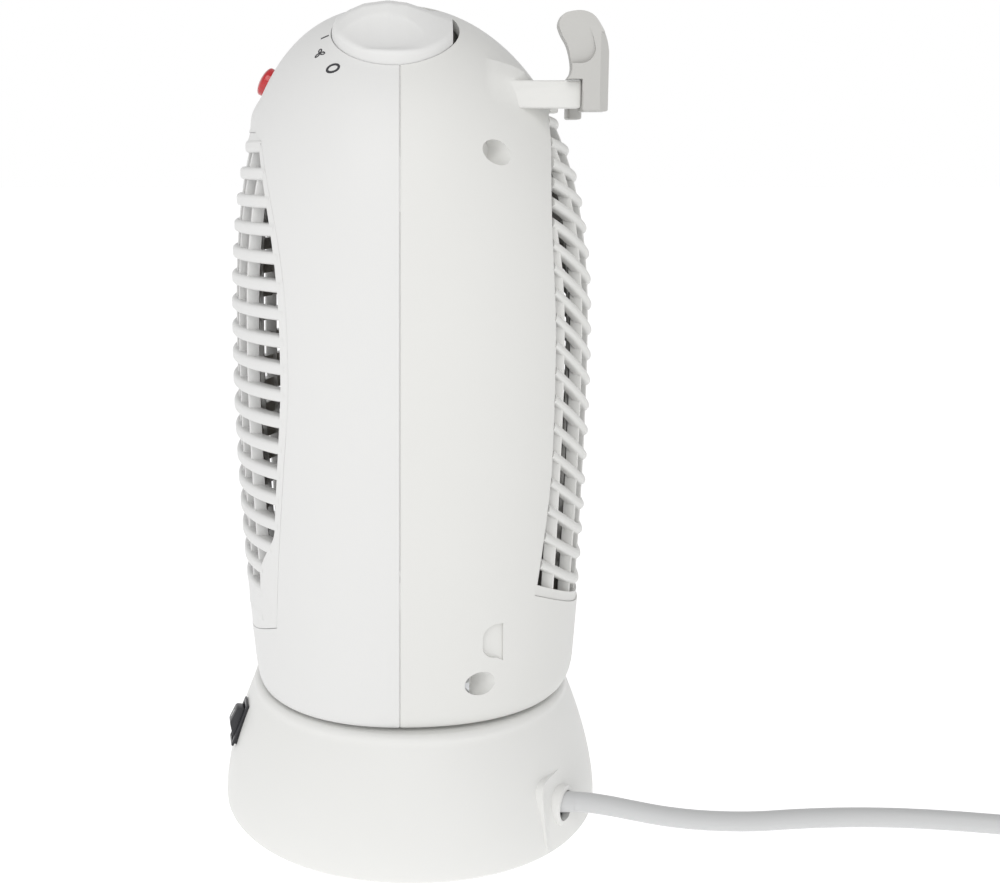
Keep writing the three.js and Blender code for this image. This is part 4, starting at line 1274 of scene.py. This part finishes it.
def add_switch_marks():
    """White I on the paddle's upper face and O on its lower face."""
    upper = (5.6 + 0.8, 4.1 - 4.7)
    lower = (-0.8 + 6.3, 4.7 - 1.2)
    marks = [slab_on("one", [(-0.3, -1.4), (0.3, -1.4), (0.3, 1.4), (-0.3, 1.4)], (2.4, 4.4), upper)]
    steps = 24
    for k in range(steps):
        a, b = 2 * pi * k / steps, 2 * pi * (k + 1) / steps
        spokes = ((1.25, a), (1.25, b), (0.8, b), (0.8, a))
        corners = [(r * cos(t), r * 1.15 * sin(t)) for r, t in spokes]
        marks.append(slab_on("ring", corners, (-3.55, 2.95), lower))
    made = merge("switch_marks", marks)
    made.data.transform(rocker_frame())
    tidy_mesh(made)
    shade(made)
    finish(made, "rocker", "white_plastic", looks="mark_white")


add_base()
add_strain_relief()
add_switch()

# ---- Carried-over CAD nodes ----

NODE_FINISHES = {
    "steel": ["grip_screw_", "housing_screw_", "base_screw_", "control_bracket", "fan_motor", "motor_mount",
              "thermal_cutout", "retaining_ring", "drive_motor"],
    "black_plastic": ["mode_switch", "lamp_holder", "impeller"],
    "natural_plastic": ["mode_spindle", "thermostat_spindle", "thermostat", "turntable", "slotted_arm",
                        "swivel_washer", "crank_disc", "drive_bracket", "cord_clamp"],
    "duct_plastic": ["air_duct", "fan_shroud", "element_frame"],
    "element": ["heating_element"],
    "rubber": ["rubber_foot_"],
    "white_plastic": ["base_plate"],
    "cord_pvc": ["inner_lead"],
    "brass": ["plug_pin_"],
}


def dress_nodes():
    """Every CAD node that still shows gets a procedural material. A name ending in _ is a series."""
    for slot, starts in NODE_FINISHES.items():
        series = tuple(s for s in starts if s.endswith("_"))
        for name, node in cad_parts.items():
            if name in starts or name.startswith(series):
                node.data.materials.clear()
                node.data.materials.append(FINISHES[slot])


dress_nodes()

# ---- Studio ----


def add_floor():
    """Pale floor that melts into the white surroundings."""
    size = 9000
    corners = [(-size, -size, 0), (size, -size, 0), (size, size, 0), (-size, size, 0)]
    floor = mesh_object("floor", corners, [(0, 1, 2, 3)])
    paint = material("pale_floor", (0.6, 0.6, 0.6), 0.9)
    vary_colour(paint, noise(paint, 3, 3), (0.59, 0.59, 0.59), (0.61, 0.61, 0.61))
    fill(principled(paint), {"Emission Color": (1, 1, 1, 1), "Emission Strength": 0.72})
    floor.data.materials.append(paint)


def add_world():
    """White surroundings at eye level, a good deal dimmer overhead."""
    world = bpy.data.worlds.new("studio")
    world.use_nodes = True
    background = world.node_tree.nodes["Background"]
    place = new_node(world, "TexCoord", {})
    split = new_node(world, "SeparateXYZ", {})
    ramp = new_node(world, "ValToRGB", {})
    low, high = ramp.color_ramp.elements
    low.position, low.color = 0.12, (1, 1, 1, 1)
    high.position, high.color = 0.6, (0.52, 0.52, 0.525, 1)
    link(world, place, "Generated", split, 0)
    link(world, split, "Z", ramp, 0)
    link(world, ramp, 0, background, "Color")
    # Dimmer light from behind the object, outside the camera's view.
    fade = new_node(world, "MapRange", {"From Min": 0.45, "From Max": 0.9, "To Min": 1.0, "To Max": 0.65})
    link(world, split, "Y", fade, "Value")
    link(world, fade, "Result", background, "Strength")
    bpy.context.scene.world = world


def add_key_light():
    data = bpy.data.lights.new("key", "AREA")
    data.shape = "RECTANGLE"
    data.size, data.size_y = 1.2, 1.0
    data.energy = 8.0
    data.color = (1, 0.995, 0.98)
    light = place_object("key", data)
    place, target = Vector((1.2, -0.15, 1.25)), Vector((0, 0, 0.15))
    light.location = place
    light.rotation_euler = (target - place).to_track_quat("-Z", "Y").to_euler()


add_floor()
add_world()
add_key_light()
bpy.context.scene.view_settings.view_transform = "Standard"
